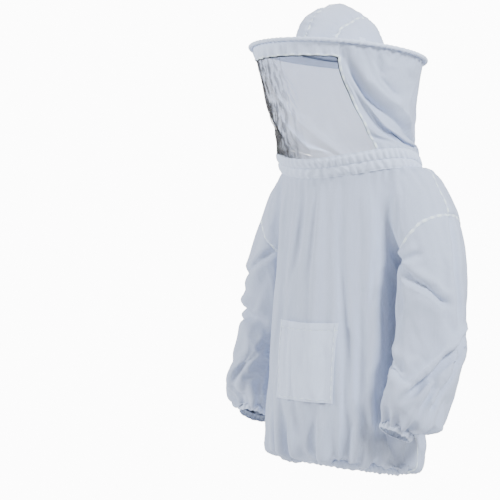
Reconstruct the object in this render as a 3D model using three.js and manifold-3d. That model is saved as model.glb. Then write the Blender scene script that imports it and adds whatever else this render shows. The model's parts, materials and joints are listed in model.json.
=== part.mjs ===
// A beekeeper's pullover smock with a hooped hat and veil sewn to it, in the shape that it has when worn.
// Millimetres. The origin is the centre of the neck opening, +Z is up, -Y is the wearer's front and +X the
// wearer's left. Cloth pieces are plain shells with the true outer shape. Angles round the body start at
// the front and run towards the wearer's left.
import * as THREE from "three";
import { mergeVertices } from "three/addons/utils/BufferGeometryUtils.js";
import Module from "manifold-3d";

const wasm = await Module();
wasm.setup();

// Cloth and seams
const CLOTH = 2;
const THIN_CLOTH = 1.2;
const GAP = 0.3;
const ELASTIC_THICKNESS = 1;
const ROUND_BODY = 32;
const ROUND_SLEEVE = 24;

// Hat
const BRIM_RADIUS = 200;
const BRIM_TILT = 6.7;
const BRIM_HEIGHT = 225;
const BRIM_FORWARD = 30;
const CROWN_HALF_WIDTH = 91;
const CROWN_HALF_LENGTH = 104;
const CROWN_HEIGHT = 107;
const CROWN_SEAM_X = 64;
const SWEATBAND_HEIGHT = 30;
const HOOP_WIRE = 3;
const FERRULE_WALL = 0.8;
const FERRULE_LENGTH = 24;
const PIPING_WALL = 0.9;

// Collar
const COLLAR_HALF_WIDTH = 176;
const COLLAR_HALF_DEPTH = 134;
const COLLAR_FLARE = 8;
const COLLAR_TAPER = 7;
const COLLAR_SETBACK = 13;
const COLLAR_CASING_HEIGHT = 22;
const COLLAR_ELASTIC_WIDTH = 14;
const NECK_FACING_HEIGHT = 20;
const NECK_FRONT = -8;
const NECK_SIDE = 14;
const NECK_BACK = -36;

// Veil
const VEIL_TOP_INSET = 10;
const VEIL_WAIST_HALF_WIDTH = 153;
const WINDOW_TOP_ANGLE = 47;
const WINDOW_FOOT_ANGLE = 70;
const WINDOW_BAND_HEIGHT = 37;
const WINDOW_BINDING_WIDTH = 8;
const WINDOW_NET = 1;

// Smock body
const BODY_LENGTH = 690;
const CHEST_HALF_WIDTH = 180;
const CHEST_HALF_DEPTH = 143;
const BELLY_HALF_WIDTH = 177;
const BELLY_HALF_DEPTH = 152;
const BELLY_RISE = 190;
const BELLY_FORWARD = 19;
const HEM_HALF_WIDTH = 165;
const HEM_HALF_DEPTH = 80;
const HEM_FORWARD = 20;
const HEM_TILT = 10;
const HEM_CASING_HEIGHT = 18;
const HEM_ELASTIC_WIDTH = 11;
const SIDE_SEAM_Y = 38;
const SHOULDER_RISE = 30;
const SHOULDER_FULLNESS = 24;

// Pocket
const POCKET_WIDTH = 178;
const POCKET_HEIGHT = 174;
const POCKET_DROP = 384;
const POCKET_HEM_HEIGHT = 15;
const POCKET_BULGE = 10;

// Armhole and sleeve: the wearer's left, and the right one is its mirror image
const ARMHOLE_X = 228;
const ARMHOLE_Z = -170;
const ARMHOLE_LEAN = 56;
const ARMHOLE_HALF_WIDTH = 64;
const ARMHOLE_HALF_DEPTH = 86;
const SLEEVE_DROP = 426;
const ELBOW_OUT = 24;
const ELBOW_HALF_WIDTH = 68;
const ELBOW_HALF_DEPTH = 84;
const CUFF_INWARD = 12;
const CUFF_FORWARD = 116;
const CUFF_PITCH = 30;
const CUFF_RADIUS = 37;
const CUFF_CASING_HEIGHT = 15;
const CUFF_ELASTIC_WIDTH = 9;

const radians = THREE.MathUtils.degToRad;
const lerp = THREE.MathUtils.lerp;

// ---- Shaping helpers

// A smooth curve through rows of [position, value, value, ...].
function through(rows) {
  const curve = new THREE.CubicInterpolant(
    rows.map((row) => row[0]),
    rows.flatMap((row) => row.slice(1)),
    rows[0].length - 1,
  );
  return (position) => [...curve.evaluate(position)];
}

function enclosedVolume(shape) {
  const at = shape.getAttribute("position");
  const [a, b, c] = [new THREE.Vector3(), new THREE.Vector3(), new THREE.Vector3()];
  let sum = 0;
  for (let i = 0; i < shape.index.count; i += 3) {
    a.fromBufferAttribute(at, shape.index.getX(i));
    b.fromBufferAttribute(at, shape.index.getX(i + 1));
    c.fromBufferAttribute(at, shape.index.getX(i + 2));
    sum += a.dot(b.cross(c)) / 6;
  }
  return sum;
}

// Moves every vertex of a closed geometry to place(vertex), and turns the faces out again if that mirrored it.
function warp(base, place) {
  const shape = base.clone();
  shape.deleteAttribute("normal");
  shape.deleteAttribute("uv");
  const at = shape.getAttribute("position");
  const vertex = new THREE.Vector3();
  for (let i = 0; i < at.count; i++) {
    at.setXYZ(i, ...place(vertex.fromBufferAttribute(at, i)));
  }
  const merged = mergeVertices(shape, 1e-4);
  if (enclosedVolume(merged) < 0) merged.index.array.reverse();
  return merged;
}

// A closed tube: place(angle, t, reach) with t from 0 to 1 along it and reach 0 at the middle of its end caps.
function tube(around, along, place) {
  const base = new THREE.CylinderGeometry(1, 1, 1, around, along);
  return warp(base, (v) => place(Math.atan2(v.x, v.z), 0.5 - v.y, Math.hypot(v.x, v.z)));
}

// A closed ring of one outline: place(angle, out, up), where out and up are the outline's own coordinates.
const LATHE_RADIUS = 100;
function ring(around, outline, place) {
  const points = [...outline, outline[0]].map(([out, up]) => new THREE.Vector2(LATHE_RADIUS + out, up));
  const base = new THREE.LatheGeometry(points, around);
  return warp(base, (v) => place(Math.atan2(v.x, v.z), Math.hypot(v.x, v.z) - LATHE_RADIUS, v.y));
}

// A sheet of cloth: place(u, v, w), each from 0 to 1, with w through its thickness.
function sheet(across, up, place) {
  const base = new THREE.BoxGeometry(1, 1, 1, across, up, 1);
  return warp(base, (v) => place(v.x + 0.5, v.y + 0.5, v.z + 0.5));
}

const plainBand = (thickness, height) => [
  [0, 0],
  [0, height],
  [-thickness, height],
  [-thickness, 0],
];

// A channel of folded cloth, open at its top, that holds an elastic.
const SLOT = ELASTIC_THICKNESS + 2 * GAP;
const channel = (wall, height) => [
  [0, 0],
  [0, height],
  [-wall, height],
  [-wall, wall],
  [-wall - SLOT, wall],
  [-wall - SLOT, height],
  [-2 * wall - SLOT, height],
  [-2 * wall - SLOT, 0],
];

// The elastic that lies in such a channel.
const elasticIn = (wall, width) => {
  const [outer, foot] = [-wall - GAP, wall + GAP];
  return [
    [outer, foot],
    [outer, foot + width],
    [outer - ELASTIC_THICKNESS, foot + width],
    [outer - ELASTIC_THICKNESS, foot],
  ];
};

// ---- Booleans

function toSolid(shape) {
  return new wasm.Manifold(
    new wasm.Mesh({
      numProp: 3,
      vertProperties: new Float32Array(shape.getAttribute("position").array),
      triVerts: new Uint32Array(shape.index.array),
    }),
  );
}

function toGeometry(solid) {
  const mesh = solid.getMesh();
  return new THREE.BufferGeometry()
    .setAttribute("position", new THREE.BufferAttribute(new Float32Array(mesh.vertProperties), 3))
    .setIndex(new THREE.BufferAttribute(new Uint32Array(mesh.triVerts), 1));
}

// A block from one corner to the opposite one.
function block(low, high) {
  const size = high.map((value, i) => value - low[i]);
  const base = new THREE.BoxGeometry(...size);
  return toSolid(warp(base, (v) => [v.x + low[0] + size[0] / 2, v.y + low[1] + size[1] / 2, v.z + low[2] + size[2] / 2]));
}

const FAR = 1500;

// ---- Materials

const material = (color, roughness, metalness = 0) => new THREE.MeshStandardMaterial({ color, roughness, metalness });
const whiteCloth = material(0xd3d9e6, 0.85);
const pocketCloth = material(0xdfe3f2, 0.85);
const blackNet = material(0x17181c, 0.8);
const whiteElastic = material(0xe9e9ea, 0.75);
const sweatCloth = material(0xe2e3e6, 0.9);
const hoopSteel = material(0xb4b6ba, 0.35, 1);

const smock = new THREE.Group();

function add(group, name, shape, finish) {
  const mesh = new THREE.Mesh(shape, finish);
  mesh.name = name;
  group.add(mesh);
  return mesh;
}

// ---- The neck opening: a saddle that dips at the front and the back and lies high on the shoulders

function neckHeight(angle) {
  const even = (NECK_FRONT + NECK_BACK) / 2;
  const level = (even + NECK_SIDE) / 2;
  return level + ((NECK_FRONT - NECK_BACK) / 2) * Math.cos(angle) + (even - level) * Math.cos(2 * angle);
}

const COLLAR_HEIGHT = COLLAR_CASING_HEIGHT + GAP + NECK_FACING_HEIGHT;

// A point on the collar: out from its outer face, down from its top edge.
function onCollar(angle, out, down) {
  const share = down / COLLAR_HEIGHT;
  return [
    (COLLAR_HALF_WIDTH + COLLAR_FLARE * share + out) * Math.sin(angle),
    COLLAR_SETBACK * share - (COLLAR_HALF_DEPTH - COLLAR_TAPER * share + out) * Math.cos(angle),
    neckHeight(angle) - down,
  ];
}

function addCollar() {
  const casingPlace = (angle, out, up) => onCollar(angle, out, COLLAR_CASING_HEIGHT - up);
  add(smock, "collar_casing", ring(ROUND_BODY, channel(CLOTH, COLLAR_CASING_HEIGHT), casingPlace), whiteCloth);
  const elastic = ring(ROUND_BODY, elasticIn(CLOTH, COLLAR_ELASTIC_WIDTH), casingPlace);
  add(smock, "collar_elastic", elastic, whiteElastic);
  const facing = ring(ROUND_BODY, plainBand(CLOTH, NECK_FACING_HEIGHT), (angle, out, up) =>
    onCollar(angle, out, COLLAR_HEIGHT - up),
  );
  add(smock, "neck_facing", facing, whiteCloth);
}

// ---- Smock body

const NECK_HALF_WIDTH = COLLAR_HALF_WIDTH + COLLAR_FLARE;
const NECK_HALF_DEPTH = COLLAR_HALF_DEPTH - COLLAR_TAPER;
const HEM_Z = -BODY_LENGTH;
const BELLY_Z = HEM_Z + BELLY_RISE;
const CHEST_Z = ARMHOLE_Z - 55;

// Half width, half depth and centre y of the body at a height.
const bodySection = through([
  [HEM_Z - 40, HEM_HALF_WIDTH - 12, HEM_HALF_DEPTH - 12, -HEM_FORWARD],
  [HEM_Z, HEM_HALF_WIDTH, HEM_HALF_DEPTH, -HEM_FORWARD],
  [lerp(HEM_Z, BELLY_Z, 0.35), BELLY_HALF_WIDTH, lerp(HEM_HALF_DEPTH, BELLY_HALF_DEPTH, 0.72), -BELLY_FORWARD],
  [BELLY_Z, BELLY_HALF_WIDTH, BELLY_HALF_DEPTH, -BELLY_FORWARD],
  [lerp(BELLY_Z, CHEST_Z, 0.5), lerp(BELLY_HALF_WIDTH, CHEST_HALF_WIDTH, 0.5), BELLY_HALF_DEPTH, -8],
  [CHEST_Z, CHEST_HALF_WIDTH, CHEST_HALF_DEPTH, 5],
  [lerp(CHEST_Z, 0, 0.4), lerp(CHEST_HALF_WIDTH, NECK_HALF_WIDTH, 0.5), CHEST_HALF_DEPTH - 5, 9.5],
  [-50, NECK_HALF_WIDTH, NECK_HALF_DEPTH, COLLAR_SETBACK],
  [60, NECK_HALF_WIDTH, NECK_HALF_DEPTH, COLLAR_SETBACK],
]);

// The hem rises at the front and falls at the back.
const hemHeight = (y) => HEM_Z - (y + HEM_FORWARD) * Math.tan(radians(HEM_TILT));

function onBody(angle, z, out) {
  const [halfWidth, halfDepth, middle] = bodySection(z);
  return [(halfWidth + out) * Math.sin(angle), middle - (halfDepth + out) * Math.cos(angle), z];
}

// The body's round solid, from below the hem to above the neck, out from its outer face.
function bodySolid(out) {
  const levels = 9;
  return toSolid(
    tube(ROUND_BODY, levels, (angle, t, reach) => {
      const z = lerp(50, HEM_Z - 30, t);
      const [x, y] = onBody(angle, z, out);
      return [x * reach, lerp(bodySection(z)[2], y, reach), z];
    }),
  );
}

// ---- Sleeve: stations from the armhole to the cuff, as a share of the drop

const sleeveStation = through([
  [0, ARMHOLE_X, SIDE_SEAM_Y, ARMHOLE_LEAN, 0, ARMHOLE_HALF_WIDTH, ARMHOLE_HALF_DEPTH],
  [0.16, ARMHOLE_X + 0.7 * ELBOW_OUT, SIDE_SEAM_Y - 8, 24, 2, lerp(ARMHOLE_HALF_WIDTH, ELBOW_HALF_WIDTH, 0.3), 87],
  [0.37, ARMHOLE_X + ELBOW_OUT, SIDE_SEAM_Y - 26, 6, 6, lerp(ARMHOLE_HALF_WIDTH, ELBOW_HALF_WIDTH, 0.9), 85],
  [0.54, ARMHOLE_X + ELBOW_OUT, SIDE_SEAM_Y - 40, 0, 14, ELBOW_HALF_WIDTH, ELBOW_HALF_DEPTH],
  [0.73, ARMHOLE_X + 0.8 * ELBOW_OUT, SIDE_SEAM_Y - 64, -4, 22, ELBOW_HALF_WIDTH - 2, ELBOW_HALF_DEPTH - 4],
  [0.88, ARMHOLE_X + 0.3 * ELBOW_OUT, SIDE_SEAM_Y - 90, -6, 28, ELBOW_HALF_WIDTH - 8, ELBOW_HALF_DEPTH - 20],
  [1, ARMHOLE_X - CUFF_INWARD, SIDE_SEAM_Y - CUFF_FORWARD, -6, CUFF_PITCH, CUFF_RADIUS, CUFF_RADIUS],
]);

// The centre of a sleeve's ring, and its outward, backward and downward directions.
function sleeveFrame(t) {
  const [x, y, lean, pitch, halfWidth, halfDepth] = sleeveStation(THREE.MathUtils.clamp(t, 0, 1));
  const turn = new THREE.Matrix4()
    .makeRotationX(-radians(pitch))
    .multiply(new THREE.Matrix4().makeRotationY(-radians(lean)));
  const [outward, backward, upward] = [new THREE.Vector3(), new THREE.Vector3(), new THREE.Vector3()];
  turn.extractBasis(outward, backward, upward);
  const centre = new THREE.Vector3(x, y, ARMHOLE_Z - SLEEVE_DROP * THREE.MathUtils.clamp(t, 0, 1));
  return { centre, outward, backward, upward, halfWidth, halfDepth };
}

// A point on a sleeve's ring: out from its outer face, and down past the ring's own plane.
function onSleeve(t, angle, out, down, reach = 1) {
  const f = sleeveFrame(t);
  return f.centre
    .addScaledVector(f.outward, reach * (f.halfWidth + out) * Math.sin(angle))
    .addScaledVector(f.backward, -reach * (f.halfDepth + out) * Math.cos(angle))
    .addScaledVector(f.upward, -down);
}

function sleeveSolid(out, over) {
  const levels = 8;
  return toSolid(
    tube(ROUND_SLEEVE, levels, (angle, t, reach) => {
      const past = t === 0 ? -over : t === 1 ? over : 0;
      return onSleeve(t, angle, out, past, reach);
    }),
  );
}

// The shoulder's short arm, from inside the body to past the armhole.
function shoulderSolid(out, over) {
  const armhole = sleeveFrame(0);
  const root = new THREE.Vector3(ARMHOLE_X - 112, armhole.centre.y - 10, -104);
  const levels = 6;
  const rows = over > 0 ? levels + 1 : levels;
  return toSolid(
    tube(ROUND_SLEEVE, rows, (angle, share, reach) => {
      const t = Math.min(1, (share * rows) / levels);
      const bend = Math.sin(t * Math.PI);
      const lean = radians(lerp(96, ARMHOLE_LEAN, t));
      const halfWidth = lerp(82, ARMHOLE_HALF_WIDTH, t) + SHOULDER_FULLNESS * bend + out;
      const halfDepth = lerp(96, ARMHOLE_HALF_DEPTH, t) + out;
      const centre = root.clone().lerp(armhole.centre, t);
      const past = share === 1 ? over : 0;
      const across = reach * halfWidth * Math.sin(angle);
      return [
        centre.x + across * Math.cos(lean) + (0.4 * SHOULDER_RISE * bend + past) * Math.sin(lean),
        centre.y - reach * halfDepth * Math.cos(angle),
        centre.z + across * Math.sin(lean) - past * Math.cos(lean) + SHOULDER_RISE * bend,
      ];
    }),
  );
}

const mirrored = (solid) => solid.mirror([1, 0, 0]);

function addBody() {
  const gapHalf = GAP / 2;
  const outerArm = shoulderSolid(0, 0);
  const innerArm = shoulderSolid(-CLOTH, 12);
  const outer = bodySolid(0).add(outerArm).add(mirrored(outerArm));
  const inner = bodySolid(-CLOTH).add(innerArm).add(mirrored(innerArm));
  // Everything above the collar's foot, and everything below the hem casing's top, is cut away.
  const neckOutline = [
    [CLOTH + GAP, 0],
    [CLOTH + GAP, 20],
    [40, 50],
    [40, 200],
    [-60, 200],
    [-60, 0],
  ];
  const neckCut = ring(ROUND_BODY, neckOutline, (angle, out, up) => {
    const [x, y, z] = onCollar(angle, out, COLLAR_HEIGHT);
    return [x, y, z - GAP + up];
  });
  const hemTop = HEM_CASING_HEIGHT + GAP;
  const hemCut = tube(ROUND_BODY, 1, (angle, t, reach) => {
    const [x, y] = [300 * reach * Math.sin(angle), -300 * reach * Math.cos(angle)];
    return [x, y, hemHeight(y) + (t < 0.5 ? hemTop : -200)];
  });
  const shell = outer.subtract(inner).subtract(toSolid(neckCut)).subtract(toSolid(hemCut));
  const front = shell.intersect(block([-FAR, -FAR, -FAR], [FAR, SIDE_SEAM_Y - gapHalf, FAR]));
  const back = shell.intersect(block([-FAR, SIDE_SEAM_Y + gapHalf, -FAR], [FAR, FAR, FAR]));
  add(smock, "front_panel", toGeometry(front), whiteCloth);
  add(smock, "back_panel", toGeometry(back), whiteCloth);
}

function addHem() {
  const place = (angle, out, up) => {
    const [x, y] = onBody(angle, HEM_Z, out);
    return [x, y, hemHeight(y) + up];
  };
  add(smock, "hem_casing", ring(ROUND_BODY, channel(CLOTH, HEM_CASING_HEIGHT), place), whiteCloth);
  add(smock, "hem_elastic", ring(ROUND_BODY, elasticIn(CLOTH, HEM_ELASTIC_WIDTH), place), whiteElastic);
}

// ---- Patch pocket: sewn down at its sides and foot, open at its top

function onPocket(u, v, out) {
  const z = -POCKET_DROP - POCKET_HEIGHT * (1 - v);
  const x = (u - 0.5) * POCKET_WIDTH;
  const [halfWidth, halfDepth, middle] = bodySection(z);
  const standOff = POCKET_BULGE * Math.sin(u * Math.PI) ** 0.6 * Math.min(1, 2.2 * v);
  const off = GAP + standOff + out;
  return [x, middle - (halfDepth + off) * Math.sqrt(1 - (x / (halfWidth + off)) ** 2), z];
}

function addPocket() {
  const hemShare = POCKET_HEM_HEIGHT / POCKET_HEIGHT;
  const patch = sheet(16, 8, (u, v, w) => onPocket(u, v * (1 - hemShare), w * THIN_CLOTH));
  add(smock, "pocket", patch, pocketCloth);
  const gapShare = GAP / POCKET_HEIGHT;
  const hem = sheet(16, 1, (u, v, w) => onPocket(u, lerp(1 - hemShare + gapShare, 1, v), w * 2 * THIN_CLOTH));
  add(smock, "pocket_hem", hem, pocketCloth);
}

// ---- Sleeves and cuffs

function addSleeve(side, flip) {
  const shell = sleeveSolid(0, 0).subtract(sleeveSolid(-CLOTH, 3));
  const whole = new THREE.Group();
  whole.scale.x = flip;
  smock.add(whole);
  // The sleeve starts a seam's gap past the armhole's plane.
  const sleeve = add(whole, side + "_sleeve", toGeometry(shell), whiteCloth);
  const armhole = sleeveFrame(0);
  sleeve.position.copy(armhole.upward).multiplyScalar(-GAP);
  const cuffPlace = (angle, out, up) => onSleeve(1, angle, out, 2 * GAP + CUFF_CASING_HEIGHT - up);
  const casing = ring(ROUND_SLEEVE, channel(THIN_CLOTH, CUFF_CASING_HEIGHT), cuffPlace);
  const elastic = ring(ROUND_SLEEVE, elasticIn(THIN_CLOTH, CUFF_ELASTIC_WIDTH), cuffPlace);
  add(whole, side + "_cuff_casing", casing, whiteCloth).position.copy(sleeve.position);
  add(whole, side + "_cuff_elastic", elastic, whiteElastic).position.copy(sleeve.position);
}

// ---- Hat: its own frame has the brim's middle plane at z = 0 and its centre at the origin

const hat = new THREE.Group();
hat.position.set(0, -BRIM_FORWARD, BRIM_HEIGHT);
hat.rotation.x = -radians(BRIM_TILT);
hat.updateMatrix();
smock.add(hat);

const HOOP_RADIUS = BRIM_RADIUS - HOOP_WIRE / 2 - FERRULE_WALL - 2 * GAP - PIPING_WALL;
const PIPING_INNER = HOOP_WIRE / 2 + FERRULE_WALL + 2 * GAP;
const PIPING_LIP = radians(35);
const PIPING_OUTER = PIPING_INNER + PIPING_WALL;
const BRIM_CLOTH_OUTER = HOOP_RADIUS - PIPING_OUTER * Math.cos(PIPING_LIP) - GAP;

// The hoop's centre line, with the same facets as the cloth round it.
class HoopLine extends THREE.Curve {
  constructor(radius, from, to) {
    super();
    this.set = { radius, from, to };
  }
  getPoint(t) {
    const angle = lerp(this.set.from, this.set.to, t);
    const facet = (2 * Math.PI) / ROUND_BODY;
    const within = THREE.MathUtils.euclideanModulo(angle, facet) - facet / 2;
    const radius = (this.set.radius * Math.cos(facet / 2)) / Math.cos(within);
    return new THREE.Vector3(radius * Math.sin(angle), -radius * Math.cos(angle), 0);
  }
}

const circle = (radius) => new THREE.Shape().absarc(0, 0, radius, 0, 2 * Math.PI);

function addBrim() {
  const clothRing = (low, high) =>
    ring(
      ROUND_BODY,
      [
        [0, low],
        [0, high],
        [1, high],
        [1, low],
      ],
      (angle, share, up) => [
        lerp(CROWN_HALF_WIDTH - THIN_CLOTH, BRIM_CLOTH_OUTER, share) * Math.sin(angle),
        -lerp(CROWN_HALF_LENGTH - THIN_CLOTH, BRIM_CLOTH_OUTER, share) * Math.cos(angle),
        up,
      ],
    );
  add(hat, "brim_top_cloth", clothRing(GAP / 2, GAP / 2 + THIN_CLOTH), whiteCloth);
  add(hat, "brim_under_cloth", clothRing(-GAP / 2 - THIN_CLOTH, -GAP / 2), whiteCloth);

  // The hoop's ends meet inside a crimped ferrule at the back.
  const endAngle = 1 / HOOP_RADIUS;
  const wire = new THREE.ExtrudeGeometry(circle(HOOP_WIRE / 2), {
    extrudePath: new HoopLine(HOOP_RADIUS, -Math.PI + endAngle, Math.PI - endAngle),
    steps: ROUND_BODY,
    curveSegments: 6,
  });
  add(hat, "brim_hoop", warp(wire, (v) => v), hoopSteel);
  const hole = new THREE.Path().absarc(0, 0, HOOP_WIRE / 2 + GAP, 0, 2 * Math.PI, true);
  const tubeShape = circle(HOOP_WIRE / 2 + GAP + FERRULE_WALL);
  tubeShape.holes.push(hole);
  const half = FERRULE_LENGTH / 2 / HOOP_RADIUS;
  const ferrule = new THREE.ExtrudeGeometry(tubeShape, {
    extrudePath: new HoopLine(HOOP_RADIUS, Math.PI - half, Math.PI + half),
    steps: 2,
    curveSegments: 6,
  });
  add(hat, "hoop_ferrule", warp(ferrule, (v) => v), hoopSteel);

  // The piping wraps the hoop and is open towards the brim's cloth.
  const arc = (radius, from, to, count) =>
    Array.from({ length: count + 1 }, (_, i) => {
      const angle = lerp(from, to, i / count);
      return [radius * Math.cos(angle), radius * Math.sin(angle)];
    });
  const [start, end] = [-Math.PI + PIPING_LIP, Math.PI - PIPING_LIP];
  const outline = [...arc(PIPING_OUTER, start, end, 6), ...arc(PIPING_INNER, end, start, 6)];
  const piping = ring(ROUND_BODY, outline, (angle, out, up) => [
    (HOOP_RADIUS + out) * Math.sin(angle),
    -(HOOP_RADIUS + out) * Math.cos(angle),
    up,
  ]);
  add(hat, "brim_piping", piping, whiteCloth);
}

function domeSolid(inset) {
  const base = new THREE.SphereGeometry(1, ROUND_SLEEVE, 14);
  return toSolid(
    warp(base, (v) => [
      v.x * (CROWN_HALF_WIDTH - inset),
      v.z * (CROWN_HALF_LENGTH - inset),
      v.y * (CROWN_HEIGHT - inset),
    ]),
  );
}

const CROWN_FOOT = GAP / 2 + THIN_CLOTH + GAP;

function addCrown() {
  const shell = domeSolid(0)
    .subtract(domeSolid(THIN_CLOTH))
    .intersect(block([-FAR, -FAR, CROWN_FOOT], [FAR, FAR, FAR]));
  const slice = (from, to) => toGeometry(shell.intersect(block([from, -FAR, -FAR], [to, FAR, FAR])));
  add(hat, "crown_left_top_panel", slice(GAP / 2, CROWN_SEAM_X - GAP / 2), whiteCloth);
  add(hat, "crown_left_side_panel", slice(CROWN_SEAM_X + GAP / 2, FAR), whiteCloth);
  add(hat, "crown_right_top_panel", slice(-CROWN_SEAM_X + GAP / 2, -GAP / 2), whiteCloth);
  add(hat, "crown_right_side_panel", slice(-FAR, -CROWN_SEAM_X - GAP / 2), whiteCloth);
  const sweatband = ring(ROUND_SLEEVE, plainBand(THIN_CLOTH, SWEATBAND_HEIGHT), (angle, out, up) => {
    const z = CROWN_FOOT + up;
    const narrowed = Math.sqrt(1 - (z / CROWN_HEIGHT) ** 2);
    const inset = THIN_CLOTH + 3 * GAP;
    return [
      ((CROWN_HALF_WIDTH - inset) * narrowed + out) * Math.sin(angle),
      -((CROWN_HALF_LENGTH - inset) * narrowed + out) * Math.cos(angle),
      z,
    ];
  });
  add(hat, "sweatband", sweatband, sweatCloth);
}

const VEIL_TOP_RADIUS = BRIM_RADIUS - VEIL_TOP_INSET;

// ---- Veil: from the collar's top edge (t = 0) to the brim's underside (t = 1)

const veilSection = through([
  [0, COLLAR_HALF_WIDTH, COLLAR_HALF_DEPTH, 0],
  [0.2, lerp(COLLAR_HALF_WIDTH, VEIL_WAIST_HALF_WIDTH, 0.55), 146, -3],
  [0.45, VEIL_WAIST_HALF_WIDTH, 159, -0.3 * BRIM_FORWARD],
  [0.75, lerp(VEIL_WAIST_HALF_WIDTH, VEIL_TOP_RADIUS, 0.36), 173, -0.7 * BRIM_FORWARD],
  [1, VEIL_TOP_RADIUS, VEIL_TOP_RADIUS, -BRIM_FORWARD],
]);

const VEIL_FOOT_GAP = 3 * GAP;
const VEIL_TOP_DROP = GAP / 2 + THIN_CLOTH + 2 * GAP;

function onVeil(angle, t, inset) {
  const [halfWidth, halfDepth, middle] = veilSection(t);
  const x = (halfWidth - inset) * Math.sin(angle);
  const y = middle - (halfDepth - inset) * Math.cos(angle);
  const underBrim = new THREE.Vector3(
    (VEIL_TOP_RADIUS - inset) * Math.sin(angle),
    -(VEIL_TOP_RADIUS - inset) * Math.cos(angle),
    -VEIL_TOP_DROP,
  ).applyMatrix4(hat.matrix);
  // At its very top the veil ends in the brim's own plane.
  const share = t * t * t;
  const foot = neckHeight(angle) + VEIL_FOOT_GAP;
  return [x, lerp(y, underBrim.y, share), lerp(foot, underBrim.z, t)];
}

const BAND_T = 1 - WINDOW_BAND_HEIGHT / BRIM_HEIGHT;
const windowEdge = (t) => radians(lerp(WINDOW_FOOT_ANGLE, WINDOW_TOP_ANGLE, Math.min(1, t / BAND_T)));

// The hood's rows, with one where the window's band starts.
const hoodRow = (v) => (v < 0.75 ? lerp(0, BAND_T, v / 0.75) : lerp(BAND_T, 1, 4 * v - 3));

function addVeil() {
  const seam = GAP / VEIL_WAIST_HALF_WIDTH;
  const seamT = GAP / BRIM_HEIGHT;
  const binding = WINDOW_BINDING_WIDTH / VEIL_WAIST_HALF_WIDTH;
  const windowTop = BAND_T - seamT;
  const net = sheet(12, 6, (u, v, w) => {
    const t = v * windowTop;
    const reach = windowEdge(t) - binding - seam;
    return onVeil(lerp(-reach, reach, u), t, w * WINDOW_NET);
  });
  add(smock, "mesh_window", net, blackNet);
  const band = sheet(12, 2, (u, v, w) => {
    const reach = windowEdge(1);
    return onVeil(lerp(-reach, reach, u), lerp(BAND_T, 1, v), w * CLOTH);
  });
  add(smock, "window_top_band", band, whiteCloth);
  for (const [side, sign] of [
    ["left", 1],
    ["right", -1],
  ]) {
    const strip = sheet(1, 6, (u, v, w) => {
      const t = v * windowTop;
      return onVeil(sign * (windowEdge(t) - binding * (1 - u)), t, w * CLOTH);
    });
    add(smock, side + "_window_binding", strip, whiteCloth);
    const hood = sheet(10, 8, (u, v, w) => {
      const t = hoodRow(v);
      const angle = lerp(windowEdge(t) + seam, Math.PI - seam / 2, u);
      return onVeil(sign * angle, t, w * CLOTH);
    });
    add(smock, side + "_hood_panel", hood, whiteCloth);
  }
}

addBody();
addCollar();
addHem();
addPocket();
addSleeve("left", 1);
addSleeve("right", -1);
addBrim();
addCrown();
addVeil();

export default smock;
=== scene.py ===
"""A beekeeper's pullover smock with a hooped hat and a net window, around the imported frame.

Metres, +Z up, -Y the wearer's front, +X the wearer's left. Angles round the body start at the front and
run towards the wearer's left.
"""

import json
import math

import bmesh
import bpy
from mathutils import Matrix, Vector, noise
from mathutils.bvhtree import BVHTree
from mathutils.kdtree import KDTree


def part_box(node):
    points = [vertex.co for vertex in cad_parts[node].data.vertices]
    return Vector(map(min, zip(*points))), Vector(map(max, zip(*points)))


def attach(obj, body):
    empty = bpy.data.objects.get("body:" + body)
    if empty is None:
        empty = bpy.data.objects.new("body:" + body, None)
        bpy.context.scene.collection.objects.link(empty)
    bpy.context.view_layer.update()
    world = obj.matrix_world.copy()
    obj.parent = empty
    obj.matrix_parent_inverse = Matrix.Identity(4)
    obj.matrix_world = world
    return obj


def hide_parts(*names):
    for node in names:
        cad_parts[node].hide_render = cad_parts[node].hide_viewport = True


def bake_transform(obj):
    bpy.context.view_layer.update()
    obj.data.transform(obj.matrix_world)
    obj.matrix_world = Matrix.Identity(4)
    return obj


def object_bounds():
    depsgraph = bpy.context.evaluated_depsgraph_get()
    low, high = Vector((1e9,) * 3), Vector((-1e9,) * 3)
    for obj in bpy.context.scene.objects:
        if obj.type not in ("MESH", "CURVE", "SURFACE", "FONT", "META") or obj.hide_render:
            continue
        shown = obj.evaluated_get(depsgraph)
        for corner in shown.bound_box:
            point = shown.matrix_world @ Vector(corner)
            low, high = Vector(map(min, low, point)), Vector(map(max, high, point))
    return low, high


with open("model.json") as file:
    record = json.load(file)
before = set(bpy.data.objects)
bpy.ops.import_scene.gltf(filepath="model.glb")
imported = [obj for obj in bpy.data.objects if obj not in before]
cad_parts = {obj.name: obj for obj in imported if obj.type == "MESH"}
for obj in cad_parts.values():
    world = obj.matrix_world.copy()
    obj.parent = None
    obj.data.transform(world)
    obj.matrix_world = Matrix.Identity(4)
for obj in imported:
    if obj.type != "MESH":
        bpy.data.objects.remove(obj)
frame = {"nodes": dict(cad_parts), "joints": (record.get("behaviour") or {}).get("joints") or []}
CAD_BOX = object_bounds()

bl_info = {
    "name": "Beekeeper's Smock",
    "version": (1, 0, 0),
    "blender": (4, 5, 0),
    "location": "3D View > Sidebar > Smock",
    "description": "Builds the cloth of a beekeeper's smock, its hat and its veil",
    "category": "Object",
}

JOINTS = {joint["name"]: joint for joint in frame["joints"]}
HAT_CENTRE = Vector(JOINTS["hat_turn"]["pos_m"])
HAT_AXIS = Vector(JOINTS["hat_turn"]["axis"]).normalized()
HAT_TILT = math.atan2(HAT_AXIS.y, HAT_AXIS.z)
HAT = Matrix.Translation(HAT_CENTRE) @ Matrix.Rotation(-HAT_TILT, 4, "X")
PI = math.pi


def node_size(name):
    """The width, depth and height of a CAD node's box."""
    low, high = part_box(name)
    return Vector(high) - Vector(low)


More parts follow.
